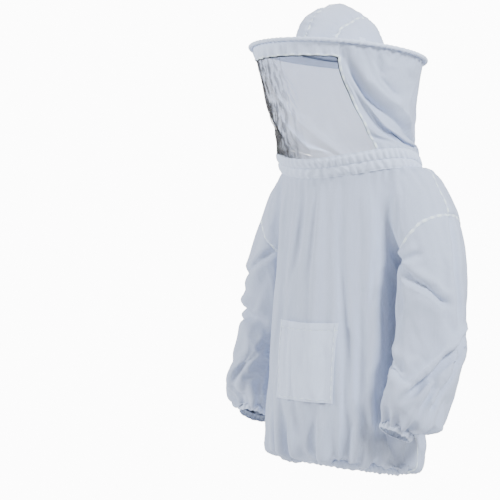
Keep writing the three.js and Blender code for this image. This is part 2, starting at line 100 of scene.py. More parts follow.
BRIM_RADIUS = node_size("brim_piping").x / 2
CROWN_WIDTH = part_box("crown_left_side_panel")[1][0] + 0.006
CROWN_TOP = (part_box("crown_left_top_panel")[1][2] - HAT_CENTRE.z) / math.cos(HAT_TILT)
CROWN_LENGTH = CROWN_WIDTH * 1.14
COLLAR_HALF_WIDTH = node_size("collar_casing").x / 2 - 0.004
HEM_HALF_WIDTH = node_size("hem_casing").x / 2
HEM_HALF_DEPTH = node_size("hem_casing").y / 2
HEM_MIDDLE = (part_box("hem_casing")[0][1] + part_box("hem_casing")[1][1]) / 2
POCKET_LOW, POCKET_HIGH = (Vector(corner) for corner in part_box("pocket"))
POCKET_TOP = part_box("pocket_hem")[1][2]
SIDE_SEAM_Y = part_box("back_panel")[0][1]


# ---- Sizes and colours that a user would change


class SmockSizes(bpy.types.PropertyGroup):
    """Sizes of the cloth pieces"""

    collar_height: bpy.props.FloatProperty(
        name="Collar Height", description="Height of the whole gathered collar", default=0.042, unit="LENGTH")
    casing_share: bpy.props.FloatProperty(
        name="Casing Share", description="Part of the collar's height that is its upper casing", default=0.52)
    hem_height: bpy.props.FloatProperty(
        name="Hem Height", description="Height of the elastic hem casing", default=0.019, unit="LENGTH")
    cuff_height: bpy.props.FloatProperty(
        name="Cuff Height", description="Height of the elastic cuff casing", default=0.016, unit="LENGTH")
    cloth: bpy.props.FloatProperty(
        name="Cloth", description="Thickness of the woven cloth", default=0.0007, unit="LENGTH")
    seam: bpy.props.FloatProperty(
        name="Seam", description="Width of a folded seam", default=0.007, unit="LENGTH")
    piping: bpy.props.FloatProperty(
        name="Piping", description="Radius of the binding round the brim's hoop", default=0.0042, unit="LENGTH")


class SmockFolds(bpy.types.PropertyGroup):
    """How full the cloth is"""

    mesh_step: bpy.props.FloatProperty(
        name="Mesh Step", description="Size of the cloth's faces before it is draped", default=0.009, unit="LENGTH")
    frames: bpy.props.IntProperty(name="Frames", description="Steps for which the cloth is draped", default=24)
    fullness: bpy.props.FloatProperty(
        name="Fullness", description="Extra width and length of the smock's cloth", default=0.02, subtype="FACTOR")
    gather: bpy.props.FloatProperty(
        name="Gather", description="Depth of the folds that fan out from the elastics", default=0.012, unit="LENGTH")


class SmockColours(bpy.types.PropertyGroup):
    """Colours of the finishes"""

    cloth: bpy.props.FloatVectorProperty(
        name="Cloth", description="Woven polycotton", default=(0.525, 0.585, 0.735), subtype="COLOR", size=3)
    cloth_light: bpy.props.FloatVectorProperty(
        name="Cloth Light", description="Doubled cloth at seams and hems", default=(0.73, 0.81, 0.99),
        subtype="COLOR", size=3)
    net: bpy.props.FloatVectorProperty(
        name="Net", description="Black net of the window", default=(0.012, 0.012, 0.014), subtype="COLOR", size=3)
    floor: bpy.props.FloatVectorProperty(
        name="Floor", description="Studio floor", default=(0.9, 0.9, 0.9), subtype="COLOR", size=3)


def settings():
    scene = bpy.context.scene
    return scene.smock_sizes, scene.smock_folds, scene.smock_colours


# ---- Curves and numbers


def lerp(a, b, t):
    return a + (b - a) * t


def ease(low, high, value):
    """0 below low, 1 above high and a smooth step between."""
    t = min(1.0, max(0.0, (value - low) / (high - low)))
    return t * t * (3 - 2 * t)


def bump(value, centre, width):
    """A soft bell of height 1."""
    return math.exp(-(((value - centre) / width) ** 2))


def wavy(x, y, z, seed=0):
    """Smooth noise between about -1 and 1."""
    return noise.noise(Vector((x + seed * 17.3, y - seed * 7.1, z + seed * 3.7)))


def rounded(angle, radius, y, z=0, seed=0):
    """Smooth noise that meets itself round a ring."""
    return wavy(radius * math.sin(angle) + 0.7 * z, radius * math.cos(angle) - 0.4 * z, y, seed)


def through(rows):
    """A smooth curve through rows of (position, value, ...)."""

    def at(position):
        if position <= rows[0][0]:
            return rows[0][1:]
        if position >= rows[-1][0]:
            return rows[-1][1:]
        k = next(i for i in range(1, len(rows)) if position <= rows[i][0])
        a, b = rows[k - 1], rows[k]
        before, after = rows[max(0, k - 2)], rows[min(len(rows) - 1, k + 1)]
        span = b[0] - a[0]
        t = (position - a[0]) / span
        values = []
        for i in range(1, len(a)):
            start = (b[i] - before[i]) / (b[0] - before[0]) * span
            end = (after[i] - a[i]) / (after[0] - a[0]) * span
            values.append(
                (2 * t**3 - 3 * t**2 + 1) * a[i] + (t**3 - 2 * t**2 + t) * start
                + (3 * t**2 - 2 * t**3) * b[i] + (t**3 - t**2) * end)
        return values

    return at


# Metres of cloth to a degree round the arm, the body and the hood, and to the whole sleeve's and hood's height
ARM_DEGREE, BODY_DEGREE, HOOD_DEGREE = 0.00135, 0.0029, 0.0028
ARM_LENGTH, HOOD_HEIGHT = 0.43, 0.22


def creases(per_x, per_y, lines):
    """Creases as (points, depth, width), their points scaled to metres."""
    return [([Vector((x * per_x, y * per_y)) for x, y in points], depth, width) for points, depth, width in lines]


def creased(x, y, lines):
    """How far cloth stands out beside and in the creases near a point."""
    point, total = Vector((x, y)), 0.0
    for spine, depth, width in lines:
        nearest, side, progress = 9.0, 1.0, 0.0
        for k, (a, b) in enumerate(zip(spine, spine[1:])):
            run = b - a
            share = min(1.0, max(0.0, (point - a).dot(run) / run.length_squared))
            gap = point - a - run * share
            if gap.length < nearest:
                nearest, progress = gap.length, (k + share) / (len(spine) - 1)
                side = 1.0 if run.x * gap.y - run.y * gap.x > 0 else -1.0
        if nearest < 6 * width:
            fade = (0.25 + 0.75 * ease(0, 0.2, progress)) * (1 - 0.85 * ease(0.75, 1, progress))
            gap = nearest * side
            total += depth * fade * (0.55 * bump(gap, 2.0 * width, 1.4 * width) - bump(gap, 0, width)
                                     + 0.40 * bump(gap, -2.0 * width, 1.4 * width))
    return total


# ---- Shapes of the worn smock

NECK_FRONT, NECK_SIDE, NECK_BACK = -0.008, 0.014, -0.036
COLLAR_HALF_DEPTH = 0.134
COLLAR_MIDDLE = 0.013
HEM_LEVEL = -0.699
SLOPE = math.radians(10)  # of the hem, down towards the back


def neck_angle(point):
    """The turn round the collar of a point near it."""
    return math.atan2(point.x / COLLAR_HALF_WIDTH, -(point.y - COLLAR_MIDDLE) / COLLAR_HALF_DEPTH)


def neck_height(angle):
    """Height of the collar's top edge: it dips at the front and the back."""
    even = (NECK_FRONT + NECK_BACK) / 2
    level = (even + NECK_SIDE) / 2
    return level + (NECK_FRONT - NECK_BACK) / 2 * math.cos(angle) + (even - level) * math.cos(2 * angle)


def on_collar(angle, out, down):
    """A point out from the collar's outer face and down from its top edge."""
    share = down / 0.0423
    return Vector((
        (COLLAR_HALF_WIDTH + 0.008 * share + out) * math.sin(angle),
        COLLAR_MIDDLE * share - (COLLAR_HALF_DEPTH - 0.007 * share + out) * math.cos(angle),
        neck_height(angle) - down))


# Half width, half depth and middle of the body at a height
body_section = through([
    (-0.73, HEM_HALF_WIDTH - 0.014, HEM_HALF_DEPTH - 0.014, HEM_MIDDLE),
    (-0.682, HEM_HALF_WIDTH - 0.004, HEM_HALF_DEPTH - 0.004, HEM_MIDDLE),
    (-0.666, 0.177, 0.112, -0.020),
    (-0.64, 0.185, 0.138, -0.020),
    (-0.55, 0.184, 0.151, -0.020),
    (-0.46, 0.174, 0.152, -0.016),
    (-0.36, 0.172, 0.149, -0.006),
    (-0.225, 0.173, 0.142, 0.005),
    (-0.135, 0.179, 0.136, 0.0105),
    (-0.05, 0.183, 0.125, 0.013),
    (0.06, 0.183, 0.125, 0.013),
])

# The arm's centre, lean, pitch, half width and half depth along it; 0 is the armhole and 1 the cuff
arm_section = through([
    (-0.42, 0.116, 0.028, -0.104, 96, 0, 0.066, 0.092),
    (-0.20, 0.182, 0.033, -0.116, 76, 0, 0.098, 0.092),
    (0.0, 0.230, 0.036, -0.170, 56, 0, 0.062, 0.090),
    (0.16, 0.250, 0.026, -0.238, 24, 2, 0.061, 0.090),
    (0.37, 0.257, 0.011, -0.328, 6, 6, 0.064, 0.086),
    (0.54, 0.257, -0.003, -0.400, 0, 14, 0.064, 0.084),
    (0.73, 0.250, -0.030, -0.481, -4, 22, 0.063, 0.086),
    (0.86, 0.239, -0.054, -0.537, -6, 28, 0.062, 0.080),
    (0.93, 0.229, -0.066, -0.566, -6, 30, 0.054, 0.061),
    (0.97, 0.221, -0.074, -0.584, -6, 30, 0.0375, 0.0375),
    (1.06, 0.214, -0.088, -0.620, -6, 30, 0.032, 0.032),
])


def arm_frame(t):
    """The centre of an arm's ring, its outward, backward and upward directions and its half sizes."""
    x, y, z, lean, pitch, half_width, half_depth = arm_section(t)
    turn = Matrix.Rotation(-math.radians(pitch), 3, "X") @ Matrix.Rotation(-math.radians(lean), 3, "Y")
    return Vector((x, y, z)), turn.col[0].copy(), turn.col[1].copy(), turn.col[2].copy(), half_width, half_depth


def on_arm(t, angle, out=0.0):
    centre, outward, backward, _, half_width, half_depth = arm_frame(t)
    return centre + outward * (half_width + out) * math.sin(angle) - backward * (half_depth + out) * math.cos(angle)


ARMHOLE_CENTRE, _, _, ARMHOLE_NORMAL, _, _ = arm_frame(0.0)
CUFF_CENTRE, CUFF_OUT, CUFF_BACK, CUFF_UP, _, _ = arm_frame(1.0)
CUFF_RADIUS = 0.036
SLEEVE_TOP, SLEEVE_LENGTH = -0.17, 0.426


def hem_height(y):
    return HEM_LEVEL - (y - HEM_MIDDLE) * math.tan(SLOPE)


VEIL_TOP_RADIUS = BRIM_RADIUS - 0.010
veil_section = through([
    (0.0, COLLAR_HALF_WIDTH - 0.001, COLLAR_HALF_DEPTH, 0.0),
    (0.2, 0.163, 0.145, -0.003),
    (0.45, 0.152, 0.157, -0.008),
    (0.75, 0.164, 0.172, -0.021),
    (1.0, VEIL_TOP_RADIUS, VEIL_TOP_RADIUS, HAT_CENTRE.y),
])


def on_veil(angle, t, out=0.0):
    """A point of the veil, from the collar's top edge (t = 0) to the brim (t = 1)."""
    half_width, half_depth, middle = veil_section(t)
    top = HAT @ Vector((
        (VEIL_TOP_RADIUS + out) * math.sin(angle), -(VEIL_TOP_RADIUS + out) * math.cos(angle), -0.003))
    x = (half_width + out) * math.sin(angle)
    y = middle - (half_depth + out) * math.cos(angle)
    return Vector((x, lerp(y, top.y, t**3), lerp(neck_height(angle), top.z, t)))


# The angle of the window's side edge at a height of the veil
edge_angle = through([
    (0, 60.5), (0.20, 60), (0.38, 58.2), (0.52, 54.5), (0.65, 49.7), (0.77, 47.3), (0.89, 45.7), (1, 45)])


def window_edge(t):
    return math.radians(edge_angle(t)[0])


# ---- Mesh helpers


def shaped(across, up, place, size=(1.0, 1.0)):
    """A grid moved to place(u, v), u and v from 0 to 1, which keeps (u, v) times its size as a UV map."""
    bm = bmesh.new()
    bmesh.ops.create_grid(bm, x_segments=across, y_segments=up, size=0.5)
    bmesh.ops.translate(bm, verts=bm.verts, vec=(0.5, 0.5, 0))
    layer = bm.loops.layers.uv.verify()
    for face in bm.faces:
        for loop in face.loops:
            loop[layer].uv = (loop.vert.co.x * size[0], loop.vert.co.y * size[1])
    for vert in bm.verts:
        vert.co = place(vert.co.x, vert.co.y)
    return bm


def merged(bm):
    bmesh.ops.remove_doubles(bm, verts=bm.verts, dist=1e-5)
    bmesh.ops.recalc_face_normals(bm, faces=bm.faces)
    return bm


def ring(around, up, place, size=(1.0, 1.0)):
    """A closed ring of cloth: place(angle, v)."""
    return merged(shaped(around, up, lambda u, v: place((u - 0.5) * 2 * PI, v), size))


def capped(bm):
    """Closes the open ends of a ring."""
    bmesh.ops.holes_fill(bm, edges=[e for e in bm.edges if e.is_boundary], sides=0)
    bmesh.ops.recalc_face_normals(bm, faces=bm.faces)
    return bm


def faced(bm, centre_of):
    """Turns an open sheet's faces away from centre_of(point)."""
    bmesh.ops.recalc_face_normals(bm, faces=bm.faces)
    side = 0.0
    for face in bm.faces:
        middle = face.calc_center_median()
        side += (middle - centre_of(middle)).dot(face.normal) * face.calc_area()
    if side < 0:
        bmesh.ops.reverse_faces(bm, faces=bm.faces)
    return bm


def from_axis(point):
    return Vector((0, 0, point.z))


def smooth(bm, factor):
    bmesh.ops.smooth_vert(bm, verts=bm.verts, factor=factor, use_axis_x=True, use_axis_y=True, use_axis_z=True)


def new_object(name, bm, material=None):
    mesh = bpy.data.meshes.new(name)
    bm.to_mesh(mesh)
    bm.free()
    mesh.shade_smooth()
    piece = bpy.data.objects.new(name, mesh)
    bpy.context.scene.collection.objects.link(piece)
    if material:
        mesh.materials.append(material)
    return piece


def remove(piece):
    mesh = piece.data
    bpy.data.objects.remove(piece)
    bpy.data.meshes.remove(mesh)


def apply_modifiers(piece):
    """Makes the piece's evaluated shape its mesh and clears its modifiers."""
    graph = bpy.context.evaluated_depsgraph_get()
    mesh = bpy.data.meshes.new_from_object(piece.evaluated_get(graph))
    old = piece.data
    piece.modifiers.clear()
    piece.data = mesh
    bpy.data.meshes.remove(old)
    return piece


def thicken(piece, thickness, levels=1, offset=-1.0):
    """Smooths a sheet and gives it its thickness."""
    if levels:
        smooth = piece.modifiers.new("Smooth", "SUBSURF")
        smooth.levels = smooth.render_levels = levels
    wall = piece.modifiers.new("Wall", "SOLIDIFY")
    wall.thickness = thickness
    wall.offset = offset
    return piece


def weighted(piece, name, weight_of):
    group = piece.vertex_groups.new(name=name)
    for vert in piece.data.vertices:
        weight = weight_of(vert)
        if weight > 0:
            group.add([vert.index], weight, "REPLACE")
    return name


def drape(piece, bodies, pinned, frames, fullness=0.0, stiffness=15.0, bending=0.5, gravity=0.6, gap=0.003):
    """Drapes a piece over hidden bodies, held where pinned, and keeps the result."""
    scene = bpy.context.scene
    for body in bodies:
        body.modifiers.new("Collision", "COLLISION")
        body.collision.thickness_outer = gap
        body.collision.cloth_friction = 12
    cloth = piece.modifiers.new("Cloth", "CLOTH")
    values = cloth.settings
    values.quality = 6
    values.mass = 0.12
    values.air_damping = 2.0
    values.tension_stiffness = values.compression_stiffness = stiffness
    values.shear_stiffness = stiffness * 0.5
    values.bending_stiffness = bending
    values.tension_damping = values.compression_damping = values.shear_damping = 10
    values.bending_damping = 1.5
    values.shrink_min = -fullness
    values.vertex_group_mass = pinned
    values.effector_weights.gravity = gravity
    cloth.collision_settings.use_collision = bool(bodies)
    cloth.collision_settings.distance_min = gap
    cloth.collision_settings.collision_quality = 2
    cloth.point_cache.frame_start, cloth.point_cache.frame_end = 1, frames
    scene.frame_start, scene.frame_end = 1, frames
    for number in range(1, frames + 1):
        scene.frame_set(number)
    apply_modifiers(piece)
    for body in bodies:
        body.modifiers.clear()
    scene.frame_set(1)
    return piece


def band(points, closed, width, height, evening=6, profile=None):
    """A flat strip of folded cloth along points, each with its surface's outward direction."""
    spots, outs = [p for p, _ in points], [n for _, n in points]
    count = len(spots)

    def evened(values, ends):
        if closed:
            return [(values[i - 1] + 2 * values[i] + values[(i + 1) % count]) / 4 for i in range(count)]
        middle = [(values[i - 1] + 2 * values[i] + values[i + 1]) / 4 for i in range(1, count - 1)]
        return [ends[0]] + middle + [ends[1]]

    for _ in range(evening):
        spots = evened(spots, (spots[0], spots[-1]))
        outs = evened(outs, (outs[0], outs[-1]))
    total = sum((spots[i] - spots[i - 1]).length for i in range(1, count))
    shape = profile or ((-0.5, -0.7), (-0.5, 0.35), (-0.32, 1.0), (0, 0.86), (0.32, 1.0), (0.5, 0.35), (0.5, -0.7))

    def place(u, v):
        reach = u * (count if closed else count - 1)
        i = min(int(reach + 1e-6), count - 1)
        j = (i + 1) % count if closed else min(i + 1, count - 1)
        share = reach - i
        here = spots[i % count].lerp(spots[j], share) if i < count else spots[0]
        h, k = (i - 1) % count if closed else max(0, i - 1), (i + 2) % count if closed else min(count - 1, i + 2)
        along = (spots[k] - spots[h]).normalized()
        out = outs[i % count].lerp(outs[j], share).normalized()
        across = along.cross(out).normalized()
        a, b = shape[round(v * len(shape)) % len(shape)]
        swell = 1 + 0.25 * math.sin(reach * 2.1) + 0.2 * math.sin(reach * 0.83)
        return here + across * (width * a) + out * (height * b * (swell if b > 0 else 1))

    bm = shaped(count if closed else count - 1, len(shape), place, (total, 1.0))
    bmesh.ops.remove_doubles(bm, verts=bm.verts, dist=1e-6)
    if not closed:
        bmesh.ops.holes_fill(bm, edges=[e for e in bm.edges if e.is_boundary], sides=0)
    bmesh.ops.recalc_face_normals(bm, faces=bm.faces)
    return bm


def joined(name, parts, material):
    """One object from several bmeshes."""
    whole = bmesh.new()
    for part in parts:
        mesh = bpy.data.meshes.new("part")
        part.to_mesh(mesh)
        part.free()
        whole.from_mesh(mesh)
        bpy.data.meshes.remove(mesh)
    return new_object(name, whole, material)


def boundary_paths(source, wanted):
    """Chains of (point, outward direction) along the edges of source that are wanted."""
    bm = bmesh.new()
    bm.from_mesh(source.data)
    bm.normal_update()
    edges = [e for e in bm.edges if wanted(e)]
    links = {}
    for edge in edges:
        for vert in edge.verts:
            links.setdefault(vert, []).append(edge.other_vert(vert))
    paths, used = [], set()
    for start in sorted(links, key=lambda v: (len(links[v]) == 2, v.index)):
        if start in used:
            continue
        path = [start]
        used.add(start)
        while True:
            ahead = [v for v in links[path[-1]] if v not in used]
            if not ahead:
                break
            used.add(ahead[0])
            path.append(ahead[0])
        if len(path) > 5:
            closed = path[0] in links[path[-1]]
            paths.append(([(v.co.copy(), v.normal.copy()) for v in path], closed))
    bm.free()
    return paths


def part_of(source, name, wanted, material):
    """A new piece from the faces of source that are wanted."""
    bm = bmesh.new()
    bm.from_mesh(source.data)
    bmesh.ops.delete(bm, geom=[f for f in bm.faces if not wanted(f)], context="FACES")
    for face in bm.faces:
        face.material_index = 0
    piece = new_object(name, bm)
    piece.data.materials.clear()
    piece.data.materials.append(material)
    return piece


# ---- Finishes


class Nodes:
    """A short way to write a material's nodes."""

    def __init__(self, name):
        self.material = bpy.data.materials.get(name) or bpy.data.materials.new(name)
        self.material.use_nodes = True
        self.tree = self.material.node_tree
        self.tree.nodes.clear()
        self.surface = self.add("ShaderNodeBsdfPrincipled")
        output = self.add("ShaderNodeOutputMaterial")
        self.link(self.surface.outputs["BSDF"], output.inputs["Surface"])
        self.coordinates = self.add("ShaderNodeTexCoord")

    def add(self, kind, **values):
        node = self.tree.nodes.new(kind)
        for name, value in values.items():
            if hasattr(node, name):
                setattr(node, name, value)
            else:
                node.inputs[name.replace("_", " ")].default_value = value
        return node

    def link(self, source, target):
        self.tree.links.new(source, target)
        return target

    def place(self, scale, source="Object", turn=(0, 0, 0)):
        mapping = self.add("ShaderNodeMapping")
        mapping.inputs["Scale"].default_value = scale
        mapping.inputs["Rotation"].default_value = turn
        self.link(self.coordinates.outputs[source], mapping.inputs["Vector"])
        return mapping.outputs["Vector"]

    def noise(self, scale, detail=3.0, source="Object"):
        node = self.add("ShaderNodeTexNoise", Scale=1.0, Detail=detail)
        self.link(self.place(scale, source), node.inputs["Vector"])
        return node.outputs["Fac"]

    def wave(self, scale, source="Object", turn=(0, 0, 0), direction="X"):
        node = self.add("ShaderNodeTexWave", bands_direction=direction, Scale=1.0)
        self.link(self.place(scale, source, turn), node.inputs["Vector"])
        return node.outputs["Fac"]

    def maths(self, operation, a, b=None):
        node = self.add("ShaderNodeMath", operation=operation)
        for socket, value in zip(node.inputs, (a, b)):
            if value is None:
                continue
            if isinstance(value, (int, float)):
                socket.default_value = value
            else:
                self.link(value, socket)
        return node.outputs[0]

    def spread(self, value, low, high):
        """value, from 0 to 1, spread between low and high."""
        node = self.add("ShaderNodeMapRange")
        self.link(value, node.inputs["Value"])
        node.inputs["To Min"].default_value, node.inputs["To Max"].default_value = low, high
        return node.outputs["Result"]

    def blended(self, value, start, end, low, high):
        """A smooth step from low, where value is start, to high, where it is end."""
        node = self.add("ShaderNodeMapRange", interpolation_type="SMOOTHSTEP")
        self.link(value, node.inputs["Value"])
        for socket, number in zip(("From Min", "From Max", "To Min", "To Max"), (start, end, low, high)):
            node.inputs[socket].default_value = number
        return node.outputs["Result"]

    def colour(self, value, dark, light):
        ramp = self.add("ShaderNodeValToRGB")
        ramp.color_ramp.elements[0].position, ramp.color_ramp.elements[1].position = 0.3, 0.7
        ramp.color_ramp.elements[0].color = (*dark, 1)
        ramp.color_ramp.elements[1].color = (*light, 1)
        self.link(value, ramp.inputs["Fac"])
        self.link(ramp.outputs["Color"], self.surface.inputs["Base Color"])

    def relief(self, *layers):
        """Bump from (height, strength, distance) layers."""
        normal = None
        for height, strength, distance in layers:
            bump_node = self.add("ShaderNodeBump", Strength=strength, Distance=distance)
            self.link(height, bump_node.inputs["Height"])
            if normal:
                self.link(normal, bump_node.inputs["Normal"])
            normal = bump_node.outputs["Normal"]
        self.link(normal, self.surface.inputs["Normal"])


def woven(name, colour, contrast=0.05, sheen=0.18, puckers_and_highlights=False, glow=0.0):
    """Plain-woven polycotton: slubby threads that run down the cloth, a fine weave and soft mottling."""
    nodes = Nodes(name)
    threads = nodes.noise((420, 420, 16), 2)
    cross = nodes.noise((30, 30, 520), 2)
    mottle = nodes.noise((26, 26, 18), 4)
    mixed = nodes.maths("ADD", nodes.maths("MULTIPLY", threads, 0.45), nodes.maths("MULTIPLY", cross, 0.2))
    mixed = nodes.maths("ADD", mixed, nodes.maths("MULTIPLY", mottle, 0.35))
    # Seams: pucker relief along the strip, with painted highlights on the puckers in the colour.
    if puckers_and_highlights:
        pucker_and_highlight_dash = nodes.wave((0.16 / 0.0105, 1, 1), "UV")
        mixed = nodes.maths("ADD", nodes.maths("MULTIPLY", mixed, 0.3), nodes.maths("MULTIPLY", pucker_and_highlight_dash, 0.7))
        contrast = 0.14
    nodes.colour(mixed, tuple(c * (1 - contrast) for c in colour), tuple(min(1, c * (1 + contrast)) for c in colour))
    nodes.link(nodes.spread(mottle, 0.74, 0.9), nodes.surface.inputs["Roughness"])
    nodes.surface.inputs["Sheen Weight"].default_value = sheen
    nodes.surface.inputs["Sheen Roughness"].default_value = 0.5
    nodes.surface.inputs["Specular IOR Level"].default_value = 0.25
    if glow:  # painted light: emission that stands in for daylight coming through the thin cloth
        nodes.surface.inputs["Emission Color"].default_value = (0.95, 0.97, 1.0, 1)
        nodes.surface.inputs["Emission Strength"].default_value = glow
    weave = nodes.maths("MULTIPLY", nodes.wave((380, 380, 380), direction="Z"),
                        nodes.wave((380, 380, 380), direction="DIAGONAL"))
    layers = [(threads, 0.25, 0.0004), (weave, 0.2, 0.0002), (nodes.noise((70, 70, 45), 3), 0.35, 0.0009)]
    if puckers_and_highlights:
        layers.append((pucker_and_highlight_dash, 0.6, 0.0010))
    nodes.relief(*layers)
    return nodes.material


def netting(name, colour):
    """Fine black net: open diamonds between thin threads."""
    nodes = Nodes(name)
    nodes.surface.inputs["Base Color"].default_value = (*colour, 1)
    nodes.surface.inputs["Roughness"].default_value = 0.42
    nodes.surface.inputs["Sheen Weight"].default_value = 0.15
    first = nodes.wave((95, 95, 95), "UV", (0, 0, 0.785))
    second = nodes.wave((95, 95, 95), "UV", (0, 0, -0.785))
    thread = nodes.maths("MAXIMUM", first, second)
    solid = nodes.maths("GREATER_THAN", thread, 0.93)
    # The net bunches into doubled folds towards the wearer's right.
    across = nodes.add("ShaderNodeSeparateXYZ")
    nodes.link(nodes.coordinates.outputs["UV"], across.inputs[0])
    side = nodes.blended(across.outputs["X"], 0.43, 0.565, 1.0, 0.06)
    folds = nodes.blended(nodes.noise((85, 30, 1), 5, "UV"), 0.44, 0.60, 0.10, 0.52)
    foot = nodes.blended(across.outputs["Y"], 0.0, 0.085, 0.45, 0.0)
    edge = nodes.blended(across.outputs["X"], 0.388, 0.415, 0.8, 0.0)
    cloud = nodes.maths("MAXIMUM", nodes.maths("MULTIPLY", nodes.maths("ADD", folds, foot), side), edge)
    nodes.link(nodes.maths("MINIMUM", nodes.maths("ADD", nodes.maths("MULTIPLY", solid, 0.5), cloud), 1.0),
               nodes.surface.inputs["Alpha"])
    nodes.relief((thread, 0.3, 0.0003))
    return nodes.material


def metal(name, colour, roughness):
    nodes = Nodes(name)
    brushed = nodes.noise((300, 300, 300), 3)
    nodes.colour(brushed, tuple(c * 0.92 for c in colour), colour)
    nodes.surface.inputs["Metallic"].default_value = 1.0
    nodes.link(nodes.spread(brushed, roughness - 0.06, roughness + 0.08), nodes.surface.inputs["Roughness"])
    nodes.relief((brushed, 0.1, 0.0001))
    return nodes.material


def floor_finish(name, colour):
    nodes = Nodes(name)
    nodes.colour(nodes.noise((3, 3, 3), 3), tuple(c * 0.995 for c in colour), colour)
    nodes.surface.inputs["Roughness"].default_value = 0.9
    nodes.relief((nodes.noise((60, 60, 60), 2), 0.05, 0.0005))
    return nodes.material


def finish(name):
    """The named finish, made when it is first asked for."""
    if name in bpy.data.materials:
        return bpy.data.materials[name]
    colours = settings()[2]
    cloth, light = tuple(colours.cloth), tuple(colours.cloth_light)
    makers = {
        "smock_polycotton": lambda: woven(name, cloth),
        "smock_seam": lambda: woven(name, tuple(min(1, c * 1.06) for c in light), 0.04, 0.2, True),
        # Painted light: a lighter inner side that glows, standing in for daylight through the thin cloth.
        "hood_inside_painted_light": lambda: woven(name, light, 0.04, 0.1, glow=0.95),
        "pocket_polycotton": lambda: woven(name, tuple(lerp(a, b, 0.7) for a, b in zip(cloth, light)), 0.04),
        "gathered_polycotton": lambda: woven(name, tuple(lerp(a, b, 0.7) for a, b in zip(cloth, light)), 0.05),
        "hat_polycotton": lambda: woven(name, tuple(lerp(a, b, 0.1) for a, b in zip(cloth, light)), 0.05),
        "sweatband_cotton": lambda: woven(name, tuple(c * 0.92 for c in light), 0.05),
        "window_net": lambda: netting(name, tuple(colours.net)),
        "net_edge": lambda: woven(name, tuple(colours.net), 0.2, 0.05),
        "spring_steel": lambda: metal(name, (0.62, 0.63, 0.64), 0.3),
        "studio_floor": lambda: floor_finish(name, tuple(colours.floor)),
    }
    return makers[name]()


def settle(piece, slot, body="smock", nodes=()):
    """Gives a finished piece its body and hides the CAD nodes that it stands for; slot is not used."""
    if nodes:
        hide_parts(*nodes)
    if body:
        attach(piece, body)
    return piece


def stitched(name, strips, slot="smock_cloth", body="smock", nodes=(), material="smock_seam"):
    """A settled piece from several strips."""
    return settle(joined(name, strips, finish(material)), slot, body, nodes)


def declare(piece, *goes_with):
    """Returns the piece unchanged; goes_with is not used."""
    return piece


# ---- The smock's body and sleeves: one cloth, draped over a wearer's shape and then parted at its seams

BODY_FRONT, BODY_BACK, LEFT_SLEEVE, RIGHT_SLEEVE = range(4)
NECK_CUT = -0.0405  # below the collar's top edge
DRAWN_IN = 0.035  # how far from the neck's edge the cloth is drawn in under the collar


def body_form(grow):
    """A closed tube in the shape of the body, grow metres larger."""

    def place(angle, v):
        z = lerp(-0.735, 0.05, v)
        half_width, half_depth, middle = body_section(z)
        back = -(half_depth + grow) * math.cos(angle)
        back += 0.042 * bump(z, -0.575, 0.085) * max(0.0, -math.cos(angle)) ** 0.8
        tilt = 1 - ease(-0.66, -0.50, z)
        return Vector(((half_width + grow) * math.sin(angle), middle + back, z - tilt * back * math.tan(SLOPE)))

    return capped(ring(72, 60, place))


def share_down(z):
    """The share of the way from the armhole to the cuff at a height."""
    return (SLEEVE_TOP - z) / SLEEVE_LENGTH


def spread(share):
    """How far the sleeves stand off the body while both are made as one skin."""
    return 0.036 * ease(0.03, 0.36, share)


def arm_form(grow, side, apart):
    """A closed tube in the shape of one shoulder and sleeve."""

    def place(angle, v):
        point = on_arm(lerp(-0.42, 1.05, v), angle, grow)
        return Vector((side * (point.x + apart * spread(share_down(point.z))), point.y, point.z))

    return capped(ring(40, 48, place))


def joined_form(name, grow, step, apart):
    """Body and arms as one closed skin."""
    form = joined(name, [body_form(grow), arm_form(grow, 1, apart), arm_form(grow, -1, apart)], None)
    skin = form.modifiers.new("Skin", "REMESH")
    skin.mode = "VOXEL"
    skin.voxel_size = step
    apply_modifiers(form)
    bm = bmesh.new()
    bm.from_mesh(form.data)
    for _ in range(5):
        smooth(bm, 0.5)
    bm.to_mesh(form.data)
    bm.free()
    return form


def mirrored(point):
    return Vector((abs(point.x), point.y, point.z))


def in_arm_zone(point):
    """True near an armhole's ring, measured across its plane."""
    _, outward, backward, _, half_width, half_depth = arm_frame(0.0)
    offset = mirrored(point) - ARMHOLE_CENTRE
    return math.hypot(offset.dot(outward) / half_width, offset.dot(backward) / half_depth) < 1.42


def all_of(bm):
    return bm.verts[:] + bm.edges[:] + bm.faces[:]


def around(faces):
    """Faces with their edges and verts, always in the same order, which a set wouldn't keep."""
    return faces + list(dict.fromkeys(e for f in faces for e in f.edges)) + list(
        dict.fromkeys(v for f in faces for v in f.verts))


def straighten_neck(bm, sign):
    for vert in bm.verts:
        vert.co.z += sign * neck_height(neck_angle(vert.co))


